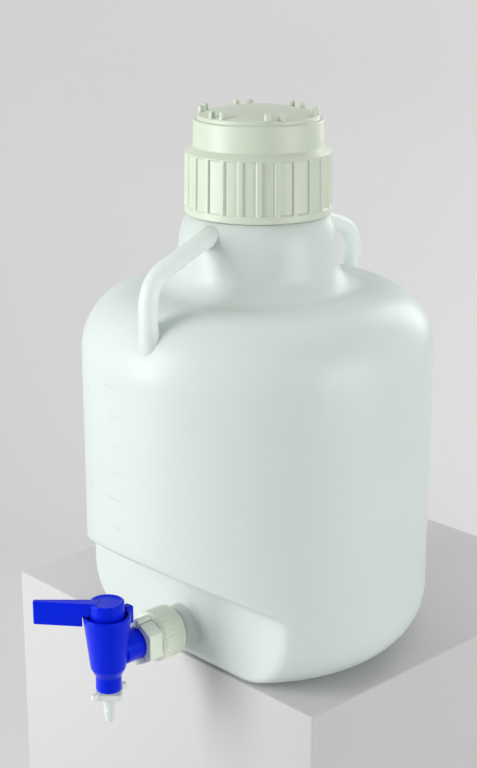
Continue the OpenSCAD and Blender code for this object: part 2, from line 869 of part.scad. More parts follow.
module stop_lug() {
    low_z = rim_z + lug_up - lug_h;
    difference() {
        translate([-lug_w / 2, 0, low_z]) cube([lug_w, lug_reach, lug_h]);
        translate([0, 0, low_z - over]) cylinder(d = well_d + over, h = far);
    }
}

module barrel_outline_2d() {
    round_r = (barrel_low_d - spout_d) / 2;
    polygon([
        [0, spout_end_z + spout_round_r],
        [spout_d / 2, spout_end_z + spout_round_r],
        [spout_d / 2, spout_top_z],
        [spout_d / 2 + round_r * 0.75, spout_top_z + barrel_round_h * 0.45],
        [barrel_low_d / 2, barrel_low_z],
        [barrel_top_d / 2, rim_z - rim_chamfer],
        [barrel_top_d / 2 - rim_chamfer, rim_z],
        [0, rim_z]
    ]);
    translate([0, spout_end_z]) square([spout_d / 2 - spout_round_r, spout_round_r + eps]);
    intersection() {
        translate([spout_d / 2 - spout_round_r, spout_end_z + spout_round_r])
            circle(r = spout_round_r, $fn = 48);
        translate([0, spout_end_z]) square([spout_d, spout_round_r]);
    }
}

module spigot_body() {
    color(royal_blue) difference() {
        union() {
            at_valve() {
                rotate_extrude() barrel_outline_2d();
                stop_lug();
            }
            on_outlet() {
                translate([0, 0, gasket_face_s]) cylinder(d = inlet_flange_d, h = inlet_flange_t);
                translate([0, 0, gasket_face_s]) cylinder(d = inlet_d, h = valve_reach - plug_d / 2);
            }
        }
        at_valve() {
            translate([0, 0, plug_low_z]) cylinder(d = plug_d, h = far);
            translate([0, 0, well_z]) cylinder(d = well_d, h = far);
            translate([0, 0, spout_end_z - over])
                cylinder(r = spout_bore_r, h = over + shank_l + shank_end_gap);
            translate([0, 0, spout_end_z]) cylinder(d = passage_d, h = far);
        }
        on_outlet() translate([0, 0, gasket_face_s - over])
            cylinder(d = inlet_bore_d, h = valve_reach + over);
    }
    color(royal_blue) at_valve() spout_thread();
}

module seal_groove(z) {
    half = key_seal_d / 2 + groove_gap;
    translate([0, 0, z - half]) ring_solid(plug_r + over, seal_groove_r, 2 * half);
}

module lever_plan() {
    polygon([
        [0, -lever_tip_w / 2],
        [lever_reach - lever_end_round, -lever_tip_w / 2],
        [lever_reach, -lever_tip_w / 2 + lever_end_round],
        [lever_reach, lever_tip_w / 2 - lever_end_round],
        [lever_reach - lever_end_round, lever_tip_w / 2],
        [head_d / 2, lever_root_w - lever_tip_w / 2],
        [0, lever_root_w - lever_tip_w / 2]
    ]);
}

// The lever runs out along local +X, the port opens on local -X
module spigot_key() {
    color(royal_blue) at_valve() rotate([0, 0, -90 - lever_angle]) {
        difference() {
            union() {
                translate([0, 0, plug_low_z + face_gap])
                    cylinder(r = plug_r, h = well_z - plug_low_z - face_gap);
                translate([0, 0, well_z - eps])
                    cylinder(r = plug_r - key_neck_step, h = head_gap + 2 * eps);
                translate([0, 0, head_z]) cylinder(d = head_d, h = head_top_z - head_z - head_chamfer);
                translate([0, 0, head_top_z - head_chamfer])
                    cylinder(d1 = head_d, d2 = head_d - 2 * head_chamfer, h = head_chamfer);
                translate([0, 0, lever_web_z]) linear_extrude(height = lever_top_z - lever_web_z)
                    lever_plan();
                translate([0, 0, lever_z]) linear_extrude(height = lever_h) difference() {
                    lever_plan();
                    circle(r = lever_inner_r);
                }
            }
            translate([0, 0, plug_low_z])
                cylinder(d = plug_bore_d, h = plug_down + port_d / 2 + port_cover);
            translate([0, 0, outlet_z]) rotate([0, -90, 0]) cylinder(d = port_d, h = far);
            translate([0, 0, head_top_z - head_dish_h]) cylinder(d = head_d - 2 * dish_rim_w, h = lever_h);
            seal_groove(seal_upper_z);
            seal_groove(seal_lower_z);
        }
    }
}

module key_seal(z) {
    color(seal_grey) at_valve() translate([0, 0, z]) rotate_extrude()
        translate([seal_groove_r + plug_gap + key_seal_d / 2, 0]) circle(d = key_seal_d, $fn = 24);
}

module key_seal_upper() {
    key_seal(seal_upper_z);
}

module key_seal_lower() {
    key_seal(seal_lower_z);
}

// ---- Nozzle ----

module shank_thread() {
    translate([0, 0, shank_thread_low_z])
        thread_ridge(shank_d / 2 - thread_sink, shank_d / 2 + shank_thread_t, nozzle_lead,
            shank_turns, small_root_w, small_crest_w, 24);
}

module tail_outline() {
    barb_z = tail_end_z + barb_up;
    polygon([
        [0, flange_low_z + eps],
        [tail_root_d / 2, flange_low_z + eps],
        [tail_d / 2, barb_z + barb_back_h],
        [barb_d / 2, barb_z],
        [tail_tip_d / 2, tail_end_z],
        [0, tail_end_z]
    ]);
}

// Two finger wings that stand up beside the spout
module nozzle_wings() {
    low_z = flange_low_z + nozzle_flange_t / 3;
    difference() {
        translate([-nozzle_wing_w / 2, -nozzle_wing_reach, low_z])
            cube([nozzle_wing_w, 2 * nozzle_wing_reach, flange_top_z + nozzle_wing_up - low_z]);
        translate([0, 0, flange_top_z]) cylinder(r = spout_d / 2 + wing_gap, h = far);
    }
}

module nozzle() {
    color(natural_white) at_valve() {
        difference() {
            union() {
                translate([0, 0, flange_low_z]) linear_extrude(height = nozzle_flange_t) intersection() {
                    rotate(45) square(nozzle_flange_w, center = true);
                    circle(d = nozzle_corner_d);
                }
                nozzle_wings();
                translate([0, 0, flange_top_z - eps]) cylinder(d = shank_d, h = washer_t + shank_l + eps);
                rotate_extrude() tail_outline();
            }
            translate([0, 0, tail_end_z - over]) cylinder(d = nozzle_bore_d, h = far);
        }
        difference() {
            shank_thread();
            translate([0, 0, tail_end_z - over]) cylinder(d = nozzle_bore_d, h = far);
        }
    }
}

module nozzle_washer() {
    color(natural_white) at_valve() translate([0, 0, flange_top_z])
        ring_solid(spout_d / 2 - spout_round_r, shank_d / 2 + shank_thread_t + washer_gap, washer_t);
}

carboy_body();
screw_cap();
cap_liner();
outlet_gasket();
coupling_nut();
split_ring();
spigot_body();
spigot_key();
key_seal_upper();
key_seal_lower();
nozzle();
nozzle_washer();
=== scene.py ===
"""Looks for a wide-mouth carboy with a draw-off spigot: materials, soft-edged shapes, light and camera.

Lengths in the sections below are in millimetres and turn into metres where a mesh is made.
"""

import math

import bmesh
import bpy
import numpy as np
from mathutils import Matrix, Vector


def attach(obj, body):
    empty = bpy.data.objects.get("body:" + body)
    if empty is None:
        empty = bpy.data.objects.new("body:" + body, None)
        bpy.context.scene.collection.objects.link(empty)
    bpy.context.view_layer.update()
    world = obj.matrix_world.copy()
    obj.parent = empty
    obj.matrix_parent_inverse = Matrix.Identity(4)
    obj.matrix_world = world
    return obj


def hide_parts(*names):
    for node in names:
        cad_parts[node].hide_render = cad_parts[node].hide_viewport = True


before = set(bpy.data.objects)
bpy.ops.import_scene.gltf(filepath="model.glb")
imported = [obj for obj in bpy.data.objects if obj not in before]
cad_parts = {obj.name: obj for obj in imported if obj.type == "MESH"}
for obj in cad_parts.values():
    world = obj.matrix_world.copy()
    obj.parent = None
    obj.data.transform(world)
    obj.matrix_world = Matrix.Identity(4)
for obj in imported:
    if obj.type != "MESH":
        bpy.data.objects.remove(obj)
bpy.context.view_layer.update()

MM = 0.001
TURN = 2 * math.pi

# Bottle
BOTTLE_R = 125.0
SHOULDER_H = 265.0
SHOULDER_R = 44.0
HEEL_R = 44.0
WALL = 2.5
NECK_R = 56.5
NECK_FILLET_R = 20.0
NECK_ROUND_R = 38.0
NECK_ROUND_Z = 296.0
NECK_DRAFT = 1.0
LEDGE_Z = 316.4
LEDGE_R = 49.0
FINISH_R = 42.6
LIP_R = 40.5
LIP_Z = 374.5
LIP_H = 14.0
MOUTH_R = 37.5
PROFILE_STEP = 6
PROFILE_FINE_STEP = 2
NECK_STEP = 1.5
NECK_ARC_STEP = 1.2

# The recess for the spigot: depth is measured from the axis towards -Y
FLAT_S = 73.0
FLAT_HEEL_R = 9.0
FLAT_LEDGE_Z = 61.7
FLAT_FILLET_R = 10.0
FLAT_SLOPE = math.radians(30)
RECESS_SOFTNESS = 5.0
RECESS_CLEAR_Z = 100

# Handles
HANDLE_CLOCK = math.radians(7.5)
HANDLE_LEG_R = 115.2
HANDLE_T = 12.2
HANDLE_W = 13.0
HANDLE_BEND_R = 22.7
HANDLE_SLOPE = math.radians(18.1)
HANDLE_ROOT = (47.5, 309.2)
HANDLE_FOOT_Z = 236.0
HANDLE_STEP = 1.5
HANDLE_SIDES = 32
HANDLE_FLARE_L = 19.0
HANDLE_FLARE = 2.2
HANDLE_FOOT_FLARE_Z = 244.0
HANDLE_FOOT_FLARE_L = 18.0
HANDLE_FOOT_FLARE = 2.2
HANDLE_INNER_FLARE = 1.7

# Angles from the spigot's direction, in degrees, between which the bottle's skin is finer
FINE_ARCS = [(-12, 28), (38, 66), (168, 208), (294, 322)]
FINE_STEP = 0.5
COARSE_STEP = 2.5

# Graduations: a mark at each quart, given in cubic millimetres. Angles are in degrees.
QUART = 946000
MARK_TOP_Z = 212.0
MARK_PITCH = QUART / (math.pi * (BOTTLE_R - WALL) ** 2)
MARK_COUNT = 6
MARK_GROUP = 4
MARK_T = 0.5
MARK_W = 1.1
MARK_SUNK = 1
MARK_START = -92
MARK_LONG = 10
MARK_SHORT = 6
MARK_FADE = 1.2
MARK_STEPS = 40
NUMBER_ANGLE = -112
NUMBER_SIZE = 6
NUMBER_DROP = 10
NUMBER_T = 0.15
NUMBER_EDGE = 0.12

# Cap
CAP_Z = 317.0
CAP_SKIRT_R = 51.45
CAP_SKIRT_TOP_R = 50.7
CAP_SKIRT_TOP_Z = 359.0
CAP_SKIRT_ROWS = 60
CAP_CROWN_R = 44.8
CAP_CROWN_Z = 363.0
CAP_TOP_Z = 381.0
CAP_DISC_R = 42.0
CAP_DISC_Z = 384.0
CAP_DOME_R = CAP_DISC_R - 1
CAP_DOME_H = 6.0
CAP_DOME_STEPS = 14
CAP_ROOF_Z = 377.0
CAP_ROOF_T = 4.0
CAP_ROOF_R = 33.5
CAP_ROOF_STEPS = 9
CAP_BORE_R = 46.1
CAP_BORE_TOP_Z = 357.3
CAP_CROWN_BORE_R = 41.8
CAP_CROWN_BORE_Z = 361.6
# The cap's skin closes over the axis with rows of this radius
PIN_R = 0.01
LINER_R = 41.3

# The cap's grip ribs and pegs
CAP_CLOCK = math.radians(31.5)
RIB_CLOCK = math.radians(31.5 - 3.3)
RIB_COUNT = 25
RIB_STEPS = 36
RIB_W = 3.2
FLUTE_DEPTH = 1.3
FLUTE_LOW_Z = 321.8
FLUTE_HIGH_Z = 358.8
FLUTE_END_L = 1.1
FLUTE_SIDE_W = 0.65
PEG_PAIRS = 6
PEG_R = 2.2
PEG_TOP_Z = 389.2
PEG_PLACE_R = 39.6
PEG_HALF_ANGLE = math.radians(7.3)

# Outlet. S is a distance from the bottle's axis towards the spigot.
OUTLET_Z = 26.0
BOSS_BORE_R = 8.5
BOSS_FOOT_R = 20
BOSS_COLLAR_R = 15
BOSS_R = 13
BOSS_ROOT_S = 68
BOSS_COLLAR_S = 82
BOSS_FACE_S = 97
GASKET_FACE_S = 99.5

# Coupling nut
NUT_R = 18.3
NUT_BORE_R = 14.5
NUT_LIP_R = 11.7
NUT_REAR_S = 86.5
NUT_LIP_S = 102.5
NUT_FRONT_S = 106.1
NUT_RIBS = 60
NUT_RIB_STEPS = 8
NUT_RIB_T = 0.5

# Slit ring: AF is across its flats
RING_AF = 31.0
RING_CORNER_R = 2.2
RING_BORE_R = 11.38
RING_REAR_S = 106.3
RING_FRONT_S = 117.9
RING_SLIT_W = 1.1
RING_SLIT_REACH = 24
RING_SLIT_ANGLE = 75
RING_SHORT_SLIT_L = 7.0

# Spigot's inlet and barrel
INLET_R = 11.3
INLET_BORE_R = 5.3
INLET_START_S = 102
INLET_END_S = 133
INLET_FLANGE_S = 102.3
VALVE_S = 143.0
RIM_R = 16.8
RIM_Z = 56.0
WELL_R = 14.6
WELL_Z = 48
BARREL_R = 12.4
BARREL_LOW_Z = 16.5
BARREL_FOOT_R = 9.6
BARREL_FOOT_Z = 11.4
SPOUT_R = 9.1
SPOUT_TOP_Z = 10.5
SPOUT_Z = -0.8
SPOUT_BORE_R = 6.9
SPOUT_BORE_L = 10.5
DRAIN_R = 4
PLUG_BORE_R = 10.6
PLUG_BORE_LOW_Z = 17.6

# Web under the inlet, and stop lug: START and END are distances from the barrel's axis, on the bottle's side.
WEB_START = 10.5
WEB_END = 15.7
WEB_START_W = 6.4
WEB_END_W = 5.4
WEB_START_LOW_Z = 10.5
WEB_END_LOW_Z = 15.5
LUG_START = 15.2
LUG_END = 21
LUG_W = 7
LUG_LOW_Z = 44
LUG_TOP_Z = 57

# Key
LEVER_ANGLE = math.radians(-90 - 43.5)
HEAD_R = 12.2
HEAD_LOW_Z = 50
HEAD_TOP_Z = 66.0
DIMPLE_R = 9.4
LEVER_ROOT_X = 6
LEVER_TIP_X = 50.5
LEVER_HALF_TIP = 2.2
LEVER_HALF_ROOT = 6.8
LEVER_LOW_Z = 49.4
LEVER_TOP_Z = 66.4
LEVER_CLEAR_R = 17.4
LEVER_CLEAR_Z = 57
PLUG_R = 10.55
PLUG_LOW_Z = 17.8
PLUG_BORE_TOP_Z = 32
PLUG_HOLLOW_R = 6.5
STEM_R = 9.55
STEM_TOP_Z = 51
PORT_R = 4.8
PORT_L = 20
GROOVE_R = 9.6
SEAL_R = 0.95
UPPER_SEAL_Z = 38.5
LOWER_SEAL_Z = 19.3

# Nozzle
WASHER_T = 1.0
WASHER_R = 7.5
WASHER_BORE_R = 6.6
NOZZLE_FLANGE_T = 4.0
NOZZLE_END_Z = -25.4
NOZZLE_BORE_R = 2
TAIL_TIP_R = 2.9
BARB_R = 4.1
BARB_H = 8.7
TAIL_R = 3.6
TAIL_ROOT_R = 4.7
SHANK_R = 5.4
SHANK_L = 10
FLANGE_HALF_W = 9.2
FLANGE_CORNER = 12.0
FLANGE_HOLE_R = 4
WING_HALF_W = 1.7
WING_REACH = 15
WING_LOW = 1.4
WING_HIGH = 1.2
WING_CLEAR_R = 9.9

# Screw threads. A ridge has its width at the root and at the crest. A thread has the radius of its root
# and of its crest, its count of turns, and where it starts along its axis.
THREAD_STEPS = 48
THREAD_RUN_IN = 0.125
THREAD_LEAST = 0.06
CAP_LEAD = 8
NUT_LEAD = 3
NOZZLE_LEAD = 2.5
LARGE_RIDGE = (3.4, 2.2)
SMALL_RIDGE = (1.1, 0.7)
NECK_THREAD = (42.1, 45.0, 2, 326.0)
CAP_THREAD = (46.6, 43.2, 1.75, 322.0)
BOSS_THREAD = (12.5, 14.1, 3, 86.9)
NUT_THREAD = (15, 13.35, 2, 91.4)
SHANK_THREAD = (4.9, 6.5, 2.5, SPOUT_Z + 1.4)

# Stage
PLINTH_CORNERS = [(-203, -71), (126.5, -71), (126.5, 258), (-203, 258)]
FLOOR_Z = -330
FLOOR_NEAR = -1400
FLOOR_FAR = 900
WALL_BEND_R = 600
WALL_TOP_Z = 2600
BACKDROP_HALF_W = 2600

# Camera, and the light round it. Places are in metres.
VIEW_ANGLE = math.radians(46.5)
VIEW_DOWN = math.radians(17.2614)
CAMERA_PLACE = (0.7702, -0.7497, 0.5246)
CAMERA_LENS = 73.31
CAMERA_SENSOR = 36
DAYLIGHT = 0.34


# ---- Meshes ----


def new_object(name, vertices, faces, smooth=True):
    """A mesh object from points in millimetres."""
    mesh = bpy.data.meshes.new(name)
    mesh.from_pydata([tuple(float(x) * MM for x in v) for v in vertices], [], faces)
    mesh.validate()
    obj = bpy.data.objects.new(name, mesh)
    bpy.context.scene.collection.objects.link(obj)
    outward(obj)
    for polygon in mesh.polygons:
        polygon.use_smooth = smooth
    return obj


def outward(obj):
    """Turns every face of a closed mesh outwards."""
    work = bmesh.new()
    work.from_mesh(obj.data)
    bmesh.ops.remove_doubles(work, verts=work.verts, dist=1e-6)
    bmesh.ops.recalc_face_normals(work, faces=work.faces)
    work.to_mesh(obj.data)
    work.free()


def grid(name, rows, around=True, ring=False):
    """A sheet of quads over rows of points. around joins each row's ends, ring joins last row to first."""
    rows = np.asarray(rows, float)
    count, width = rows.shape[:2]
    faces = []
    for i in range(count if ring else count - 1):
        for j in range(width if around else width - 1):
            a = i * width + j
            b = i * width + (j + 1) % width
            below = (i + 1) % count
            faces.append((a, b, below * width + (j + 1) % width, below * width + j))
    if around and not ring:
        faces.append(tuple(range(width))[::-1])
        last = (count - 1) * width
        faces.append(tuple(range(last, last + width)))
    return new_object(name, rows.reshape(-1, 3), faces)


def soft(points, steps=5, closed=True):
    """A 2D outline from (x, y, radius) corners, each rounded to its radius."""
    out = []
    count = len(points)
    for i, (x, y, radius) in enumerate(points):
        here = np.array((x, y), float)
        if radius <= 0 or (not closed and i in (0, count - 1)):
            out.append(here)
            continue
        before = np.array(points[i - 1][:2], float) - here
        after = np.array(points[(i + 1) % count][:2], float) - here
        a = before / np.linalg.norm(before)
        b = after / np.linalg.norm(after)
        half = math.acos(max(-1, min(1, float(a @ b)))) / 2
        reach = min(
            radius / math.tan(half),
            0.48 * np.linalg.norm(before),
            0.48 * np.linalg.norm(after),
        )
        radius = reach * math.tan(half)
        centre = here + (a + b) / np.linalg.norm(a + b) * radius / math.sin(half)
        first = here + a * reach - centre
        last = here + b * reach - centre
        angle = math.atan2(first[0] * last[1] - first[1] * last[0], float(first @ last))
        for k in range(steps + 1):
            t = angle * k / steps
            out.append(
                centre
                + np.array(
                    (
                        first[0] * math.cos(t) - first[1] * math.sin(t),
                        first[0] * math.sin(t) + first[1] * math.cos(t),
                    )
                )
            )
    return np.array(out)


def circle(angles, radius, z):
    """A row of points round Z, counted from +X. radius is a number, or one number for each angle."""
    return np.stack([radius * np.cos(angles), radius * np.sin(angles), np.full_like(angles, z)], axis=1)


def circle_from_spigot(angles, radius, z):
    """A row of points round Z, counted from the spigot's direction."""
    return np.stack([radius * np.sin(angles), -radius * np.cos(angles), np.full_like(angles, z)], axis=1)


def lathe(name, outline, steps=128, place=None):
    """Turns a closed outline of (radius, height) round Z. An outline may start and end on the axis."""
    outline = np.asarray(outline, float)
    on_axis = outline[0][0] < 1e-6 and outline[-1][0] < 1e-6
    inner = outline[1:-1] if on_axis else outline
    angles = np.arange(steps) * TURN / steps
    obj = grid(name, [circle(angles, r, z) for r, z in inner], ring=not on_axis)
    if place is not None:
        obj.data.transform(place)
    return obj


def cylinder(name, radius, low, high, steps, place=None):
    """A plain round bar along Z."""
    return lathe(name, [(0, low), (radius, low), (radius, high), (0, high)], steps, place)


def prism(name, outline, low, high, round_edge=0.0, place=None):
    """A block with an outline in XY between two heights, its edges softened."""
    points = [(x, y, low) for x, y in outline] + [(x, y, high) for x, y in outline]
    n = len(outline)
    faces = [tuple(range(n))[::-1], tuple(range(n, 2 * n))]
    faces += [(i, (i + 1) % n, n + (i + 1) % n, n + i) for i in range(n)]
    obj = new_object(name, points, faces, smooth=round_edge > 0)
    if round_edge > 0:
        soften(obj, round_edge)
    if place is not None:
        obj.data.transform(place)
    return obj


def bake(obj):
    """Turns an object's modifiers into its mesh."""
    graph = bpy.context.evaluated_depsgraph_get()
    graph.update()
    mesh = bpy.data.meshes.new_from_object(obj.evaluated_get(graph))
    obj.modifiers.clear()
    obj.data = mesh


def soften(obj, width, segments=3):
    """Rounds the sharp edges of a mesh."""
    bevel = obj.modifiers.new("soft edges", "BEVEL")
    bevel.width = width * MM
    bevel.segments = segments
    bevel.limit_method = "ANGLE"
    bevel.angle_limit = math.radians(35)
    bevel.harden_normals = False
    bake(obj)


def combine(obj, other, operation):
    """Joins other to obj, or cuts it away, and removes other."""
    step = obj.modifiers.new(operation, "BOOLEAN")
    step.operation = operation
    step.object = other
    step.solver = "EXACT"
    bake(obj)
    bpy.data.objects.remove(other)


def melt(obj, voxel, passes):
    """Runs the joins of a moulding together, as a mould's rounded corners do."""
    remesh = obj.modifiers.new("one skin", "REMESH")
    remesh.mode = "VOXEL"
    remesh.voxel_size = voxel * MM
    remesh.use_smooth_shade = True
    smooth = obj.modifiers.new("rounded corners", "SMOOTH")
    smooth.factor = 0.5
    smooth.iterations = passes
    bake(obj)


def smooth_faces(obj):
    """Shades every face of a mesh smooth."""
    for polygon in obj.data.polygons:
        polygon.use_smooth = True


def merge(name, parts):
    """One object from several, shaded smooth."""
    work = bmesh.new()
    for part in parts:
        work.from_mesh(part.data)
    mesh = bpy.data.meshes.new(name)
    work.to_mesh(mesh)
    work.free()
    obj = bpy.data.objects.new(name, mesh)
    bpy.context.scene.collection.objects.link(obj)
    for part in parts:
        bpy.data.objects.remove(part)
    smooth_faces(obj)
    return obj


def along_outlet():
    """Turns local Z to the outlet's direction, which is -Y, at the outlet's height."""
    return Matrix.Translation((0, 0, OUTLET_Z * MM)) @ Matrix.Rotation(math.radians(90), 4, "X")


def at_valve(turn=0.0):
    """The spigot's upright axis, turned round itself."""
    return Matrix.Translation((0, -VALVE_S * MM, 0)) @ Matrix.Rotation(turn, 4, "Z")


def thread(name, size, lead, ridge):
    """One ridge of a screw thread that climbs along +Z and fades out at both ends."""
    root_r, crest_r, turns, bottom = size
    root_w, crest_w = ridge
    steps = int(turns * THREAD_STEPS)
    rows = []
    for i in range(steps + 1):
        turn = turns * i / steps
        a = TURN * turn
        fade = max(THREAD_LEAST, min(1.0, turn / THREAD_RUN_IN, (turns - turn) / THREAD_RUN_IN))
        tip = root_r + (crest_r - root_r) * fade
        z = bottom + lead * turn
        ring = [(root_r, -root_w), (tip, -crest_w), (tip, crest_w), (root_r, root_w)]
        rows.append([(r * math.cos(a), r * math.sin(a), z + w / 2) for r, w in ring])
    return grid(name, rows)


# ---- Materials ----


class Shader:
    """A node tree under construction."""

    def __init__(self, name):
        self.material = bpy.data.materials.new(name)
        self.material.use_nodes = True
        self.tree = self.material.node_tree
        self.tree.nodes.clear()
        self.out = self.node("ShaderNodeOutputMaterial")
        self.place = self.node("ShaderNodeTexCoord").outputs["Object"]

    def node(self, kind, **values):
        made = self.tree.nodes.new(kind)
        for key, value in values.items():
            if key in made.inputs:
                made.inputs[key].default_value = value
            else:
                setattr(made, key, value)
        return made

    def link(self, source, target):
        self.tree.links.new(source, target)

    def noise(self, scale, detail=1.0, roughness=0.4):
        made = self.node("ShaderNodeTexNoise", Scale=scale, Detail=detail, Roughness=roughness)
        self.link(self.place, made.inputs["Vector"])
        return made.outputs["Fac"]

    def between(self, factor, low, high, start=0.15, end=0.85):
        """low where factor is under start, high where it is over end. Colours or single numbers."""
        ranged = self.node("ShaderNodeMapRange")
        ranged.inputs["From Min"].default_value = start
        ranged.inputs["From Max"].default_value = end
        self.link(factor, ranged.inputs["Value"])
        if isinstance(low, float):
            ranged.inputs["To Min"].default_value = low
            ranged.inputs["To Max"].default_value = high
            return ranged.outputs["Result"]
        mixed = self.node("ShaderNodeMix", data_type="RGBA")
        mixed.inputs[6].default_value = (*low, 1)
        mixed.inputs[7].default_value = (*high, 1)
        self.link(ranged.outputs["Result"], mixed.inputs[0])
        return mixed.outputs[2]

    def bump(self, height, strength, distance):
        made = self.node("ShaderNodeBump", Strength=strength, Distance=distance)
        self.link(height, made.inputs["Height"])
        return made.outputs["Normal"]


def plastic(name, low, high, rough, texture=(900, 0.05), mottle=14, glow=0.0, shine=0.5, tint=(1, 1, 1)):
    """Moulded plastic: two tones of mottle, uneven gloss, fine texture. glow lets light through a wall."""
    s = Shader(name)
    body = s.node("ShaderNodeBsdfPrincipled")
    colour = s.between(s.noise(mottle), low, high)
    normal = s.bump(s.noise(texture[0], 2.0), texture[1], 0.0004)
    s.link(colour, body.inputs["Base Color"])
    s.link(s.between(s.noise(mottle * 3), rough - 0.04, rough + 0.04), body.inputs["Roughness"])
    s.link(normal, body.inputs["Normal"])
    body.inputs["Specular IOR Level"].default_value = shine
    body.inputs["Specular Tint"].default_value = (*tint, 1)
    surface = body.outputs["BSDF"]
    if glow:
        through = s.node("ShaderNodeBsdfTranslucent")
        s.link(colour, through.inputs["Color"])
        mixed = s.node("ShaderNodeMixShader")
        mixed.inputs[0].default_value = glow
        s.link(surface, mixed.inputs[1])
        s.link(through.outputs["BSDF"], mixed.inputs[2])
        surface = mixed.outputs["Shader"]
    s.link(surface, s.out.inputs["Surface"])
    return s.material


MILKY = plastic("milky plastic", (0.84, 0.885, 0.862), (0.87, 0.91, 0.89), 0.32, (140, 0.06), 9, glow=0.5)
CAP_GREY = plastic("cap plastic", (0.52, 0.58, 0.47), (0.56, 0.62, 0.51), 0.42, (1600, 0.12), 25)
# The cap's plastic again, painted lighter for the coupling nut and split ring: painted light where the key
# lamp falls on them.
CAP_GREY_PAINTED_LIT = plastic("cap plastic painted lighter", (0.69, 0.755, 0.63), (0.73, 0.79, 0.67), 0.42, (1600, 0.12), 25)
BLUE_LOW = (0.001, 0.009, 0.60)
BLUE_HIGH = (0.002, 0.013, 0.66)
BLUE_SHINE = (0.12, 0.42, 1)
ROYAL_BLUE = plastic("blue plastic", BLUE_LOW, BLUE_HIGH, 0.22, (700, 0.04), 40, shine=0.32, tint=BLUE_SHINE)
NATURAL = plastic("natural plastic", (0.80, 0.84, 0.82), (0.86, 0.89, 0.87), 0.3, (900, 0.06), 60, glow=0.35)
SEAL = plastic("seal rubber", (0.27, 0.28, 0.28), (0.32, 0.33, 0.32), 0.6, (1800, 0.2), 90)


def finish(obj, material, body, slot, *nodes):
    """Gives a piece its material, its CAD body and the CAD nodes that it stands for."""
    obj.data.materials.clear()
    obj.data.materials.append(material)
    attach(obj, body)
    if nodes:
        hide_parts(*nodes)


# ---- Bottle ----


def arc(centre, radius, start, end, spacing):
    """Points on an arc, in degrees, about spacing apart."""
    count = max(2, int(abs(math.radians(end - start)) * radius / spacing))
    angles = np.radians(np.linspace(start, end, count + 1))
    return [(centre[0] + radius * math.cos(a), centre[1] + radius * math.sin(a)) for a in angles]


def line(a, b, spacing):
    """Points from a up to, but without, b."""
    count = max(1, int(math.dist(a, b) / spacing))
    return [tuple(np.array(a) + (np.array(b) - np.array(a)) * k / count) for k in range(count)]


def bottle_profile(inset):
    """(radius, height) from the middle of the base to the ledge under the cap, moved in by inset."""
    heel = (BOTTLE_R - HEEL_R, HEEL_R)
    shoulder = (BOTTLE_R - SHOULDER_R, SHOULDER_H - SHOULDER_R)
    hollow = (NECK_R + NECK_FILLET_R, SHOULDER_H + NECK_FILLET_R)
    crown = (NECK_R - NECK_DRAFT - NECK_ROUND_R, NECK_ROUND_Z)
    side = BOTTLE_R - inset
    points = line((4, inset), (heel[0], inset), PROFILE_STEP)
    points += arc(heel, HEEL_R - inset, -90, 0, PROFILE_FINE_STEP)
    points += line((side, HEEL_R + PROFILE_FINE_STEP), (side, RECESS_CLEAR_Z), PROFILE_FINE_STEP)
    points += line((side, RECESS_CLEAR_Z), (side, shoulder[1]), PROFILE_STEP)
    points += arc(shoulder, SHOULDER_R - inset, 0, 90, PROFILE_FINE_STEP)
    first = shoulder[0] - PROFILE_FINE_STEP
    points += line((first, SHOULDER_H - inset), (hollow[0], SHOULDER_H - inset), PROFILE_FINE_STEP)
    points += arc(hollow, NECK_FILLET_R + inset, 270, 180, NECK_ARC_STEP)
    neck_top = (NECK_R - NECK_DRAFT - inset, NECK_ROUND_Z)
    points += line((NECK_R - inset, hollow[1]), neck_top, NECK_STEP)
    top = math.degrees(math.asin((LEDGE_Z - inset - NECK_ROUND_Z) / (NECK_ROUND_R - inset)))
    points += arc(crown, NECK_ROUND_R - inset, 0, top, NECK_ARC_STEP)
    return np.array(points)


def recess_depth(z, inset):
    """How far from the axis the recess starts at height z, on the side of the spigot."""
    s = FLAT_S - inset
    heel = FLAT_HEEL_R - inset
    fillet = FLAT_FILLET_R + inset
    corner_z = FLAT_LEDGE_Z + inset / math.cos(FLAT_SLOPE) - inset * math.tan(FLAT_SLOPE)
    fillet_z = corner_z - fillet / math.tan(math.radians(45) + FLAT_SLOPE / 2)
    fillet_top = fillet_z + fillet * math.cos(FLAT_SLOPE)
    if z < inset + heel:
        drop = inset + heel - max(z, inset)
        return s - heel + math.sqrt(heel * heel - drop * drop)
    if z < fillet_z:
        return s
    if z < fillet_top:
        return s + fillet - math.sqrt(fillet * fillet - (z - fillet_z) ** 2)
    return s + (z - corner_z) / math.tan(FLAT_SLOPE)


def soft_min(a, b, width):
    """The smaller of a and b, with the corner between them rounded."""
    h = np.clip(width - np.abs(a - b), 0, None) / width
    return np.minimum(a, b) - h * h * width / 4


def recessed(r, z, angle, inset):
    """The bottle's radius at an angle from the spigot's direction, with the recess taken off."""
    facing = np.clip(np.cos(angle), 1e-3, None)
    if z <= inset + 1e-6:
        edge = soft_min(BOTTLE_R - HEEL_R, recess_depth(z, inset) / facing, RECESS_SOFTNESS)
        return r * edge / (BOTTLE_R - HEEL_R)
    return soft_min(np.full_like(angle, r), recess_depth(z, inset) / facing, RECESS_SOFTNESS)


def bottle_angles():
    """Angles from the spigot's direction: close together at the handles and at the recess's sides."""
    out = []
    for k, (start, end) in enumerate(FINE_ARCS):
        following = FINE_ARCS[k + 1][0] if k + 1 < len(FINE_ARCS) else FINE_ARCS[0][0] + 360
        for low, high, step in ((start, end, FINE_STEP), (end, following, COARSE_STEP)):
            count = round((high - low) / step)
            out += list(np.radians(low + (high - low) * np.arange(count) / count))
    return np.array(out)


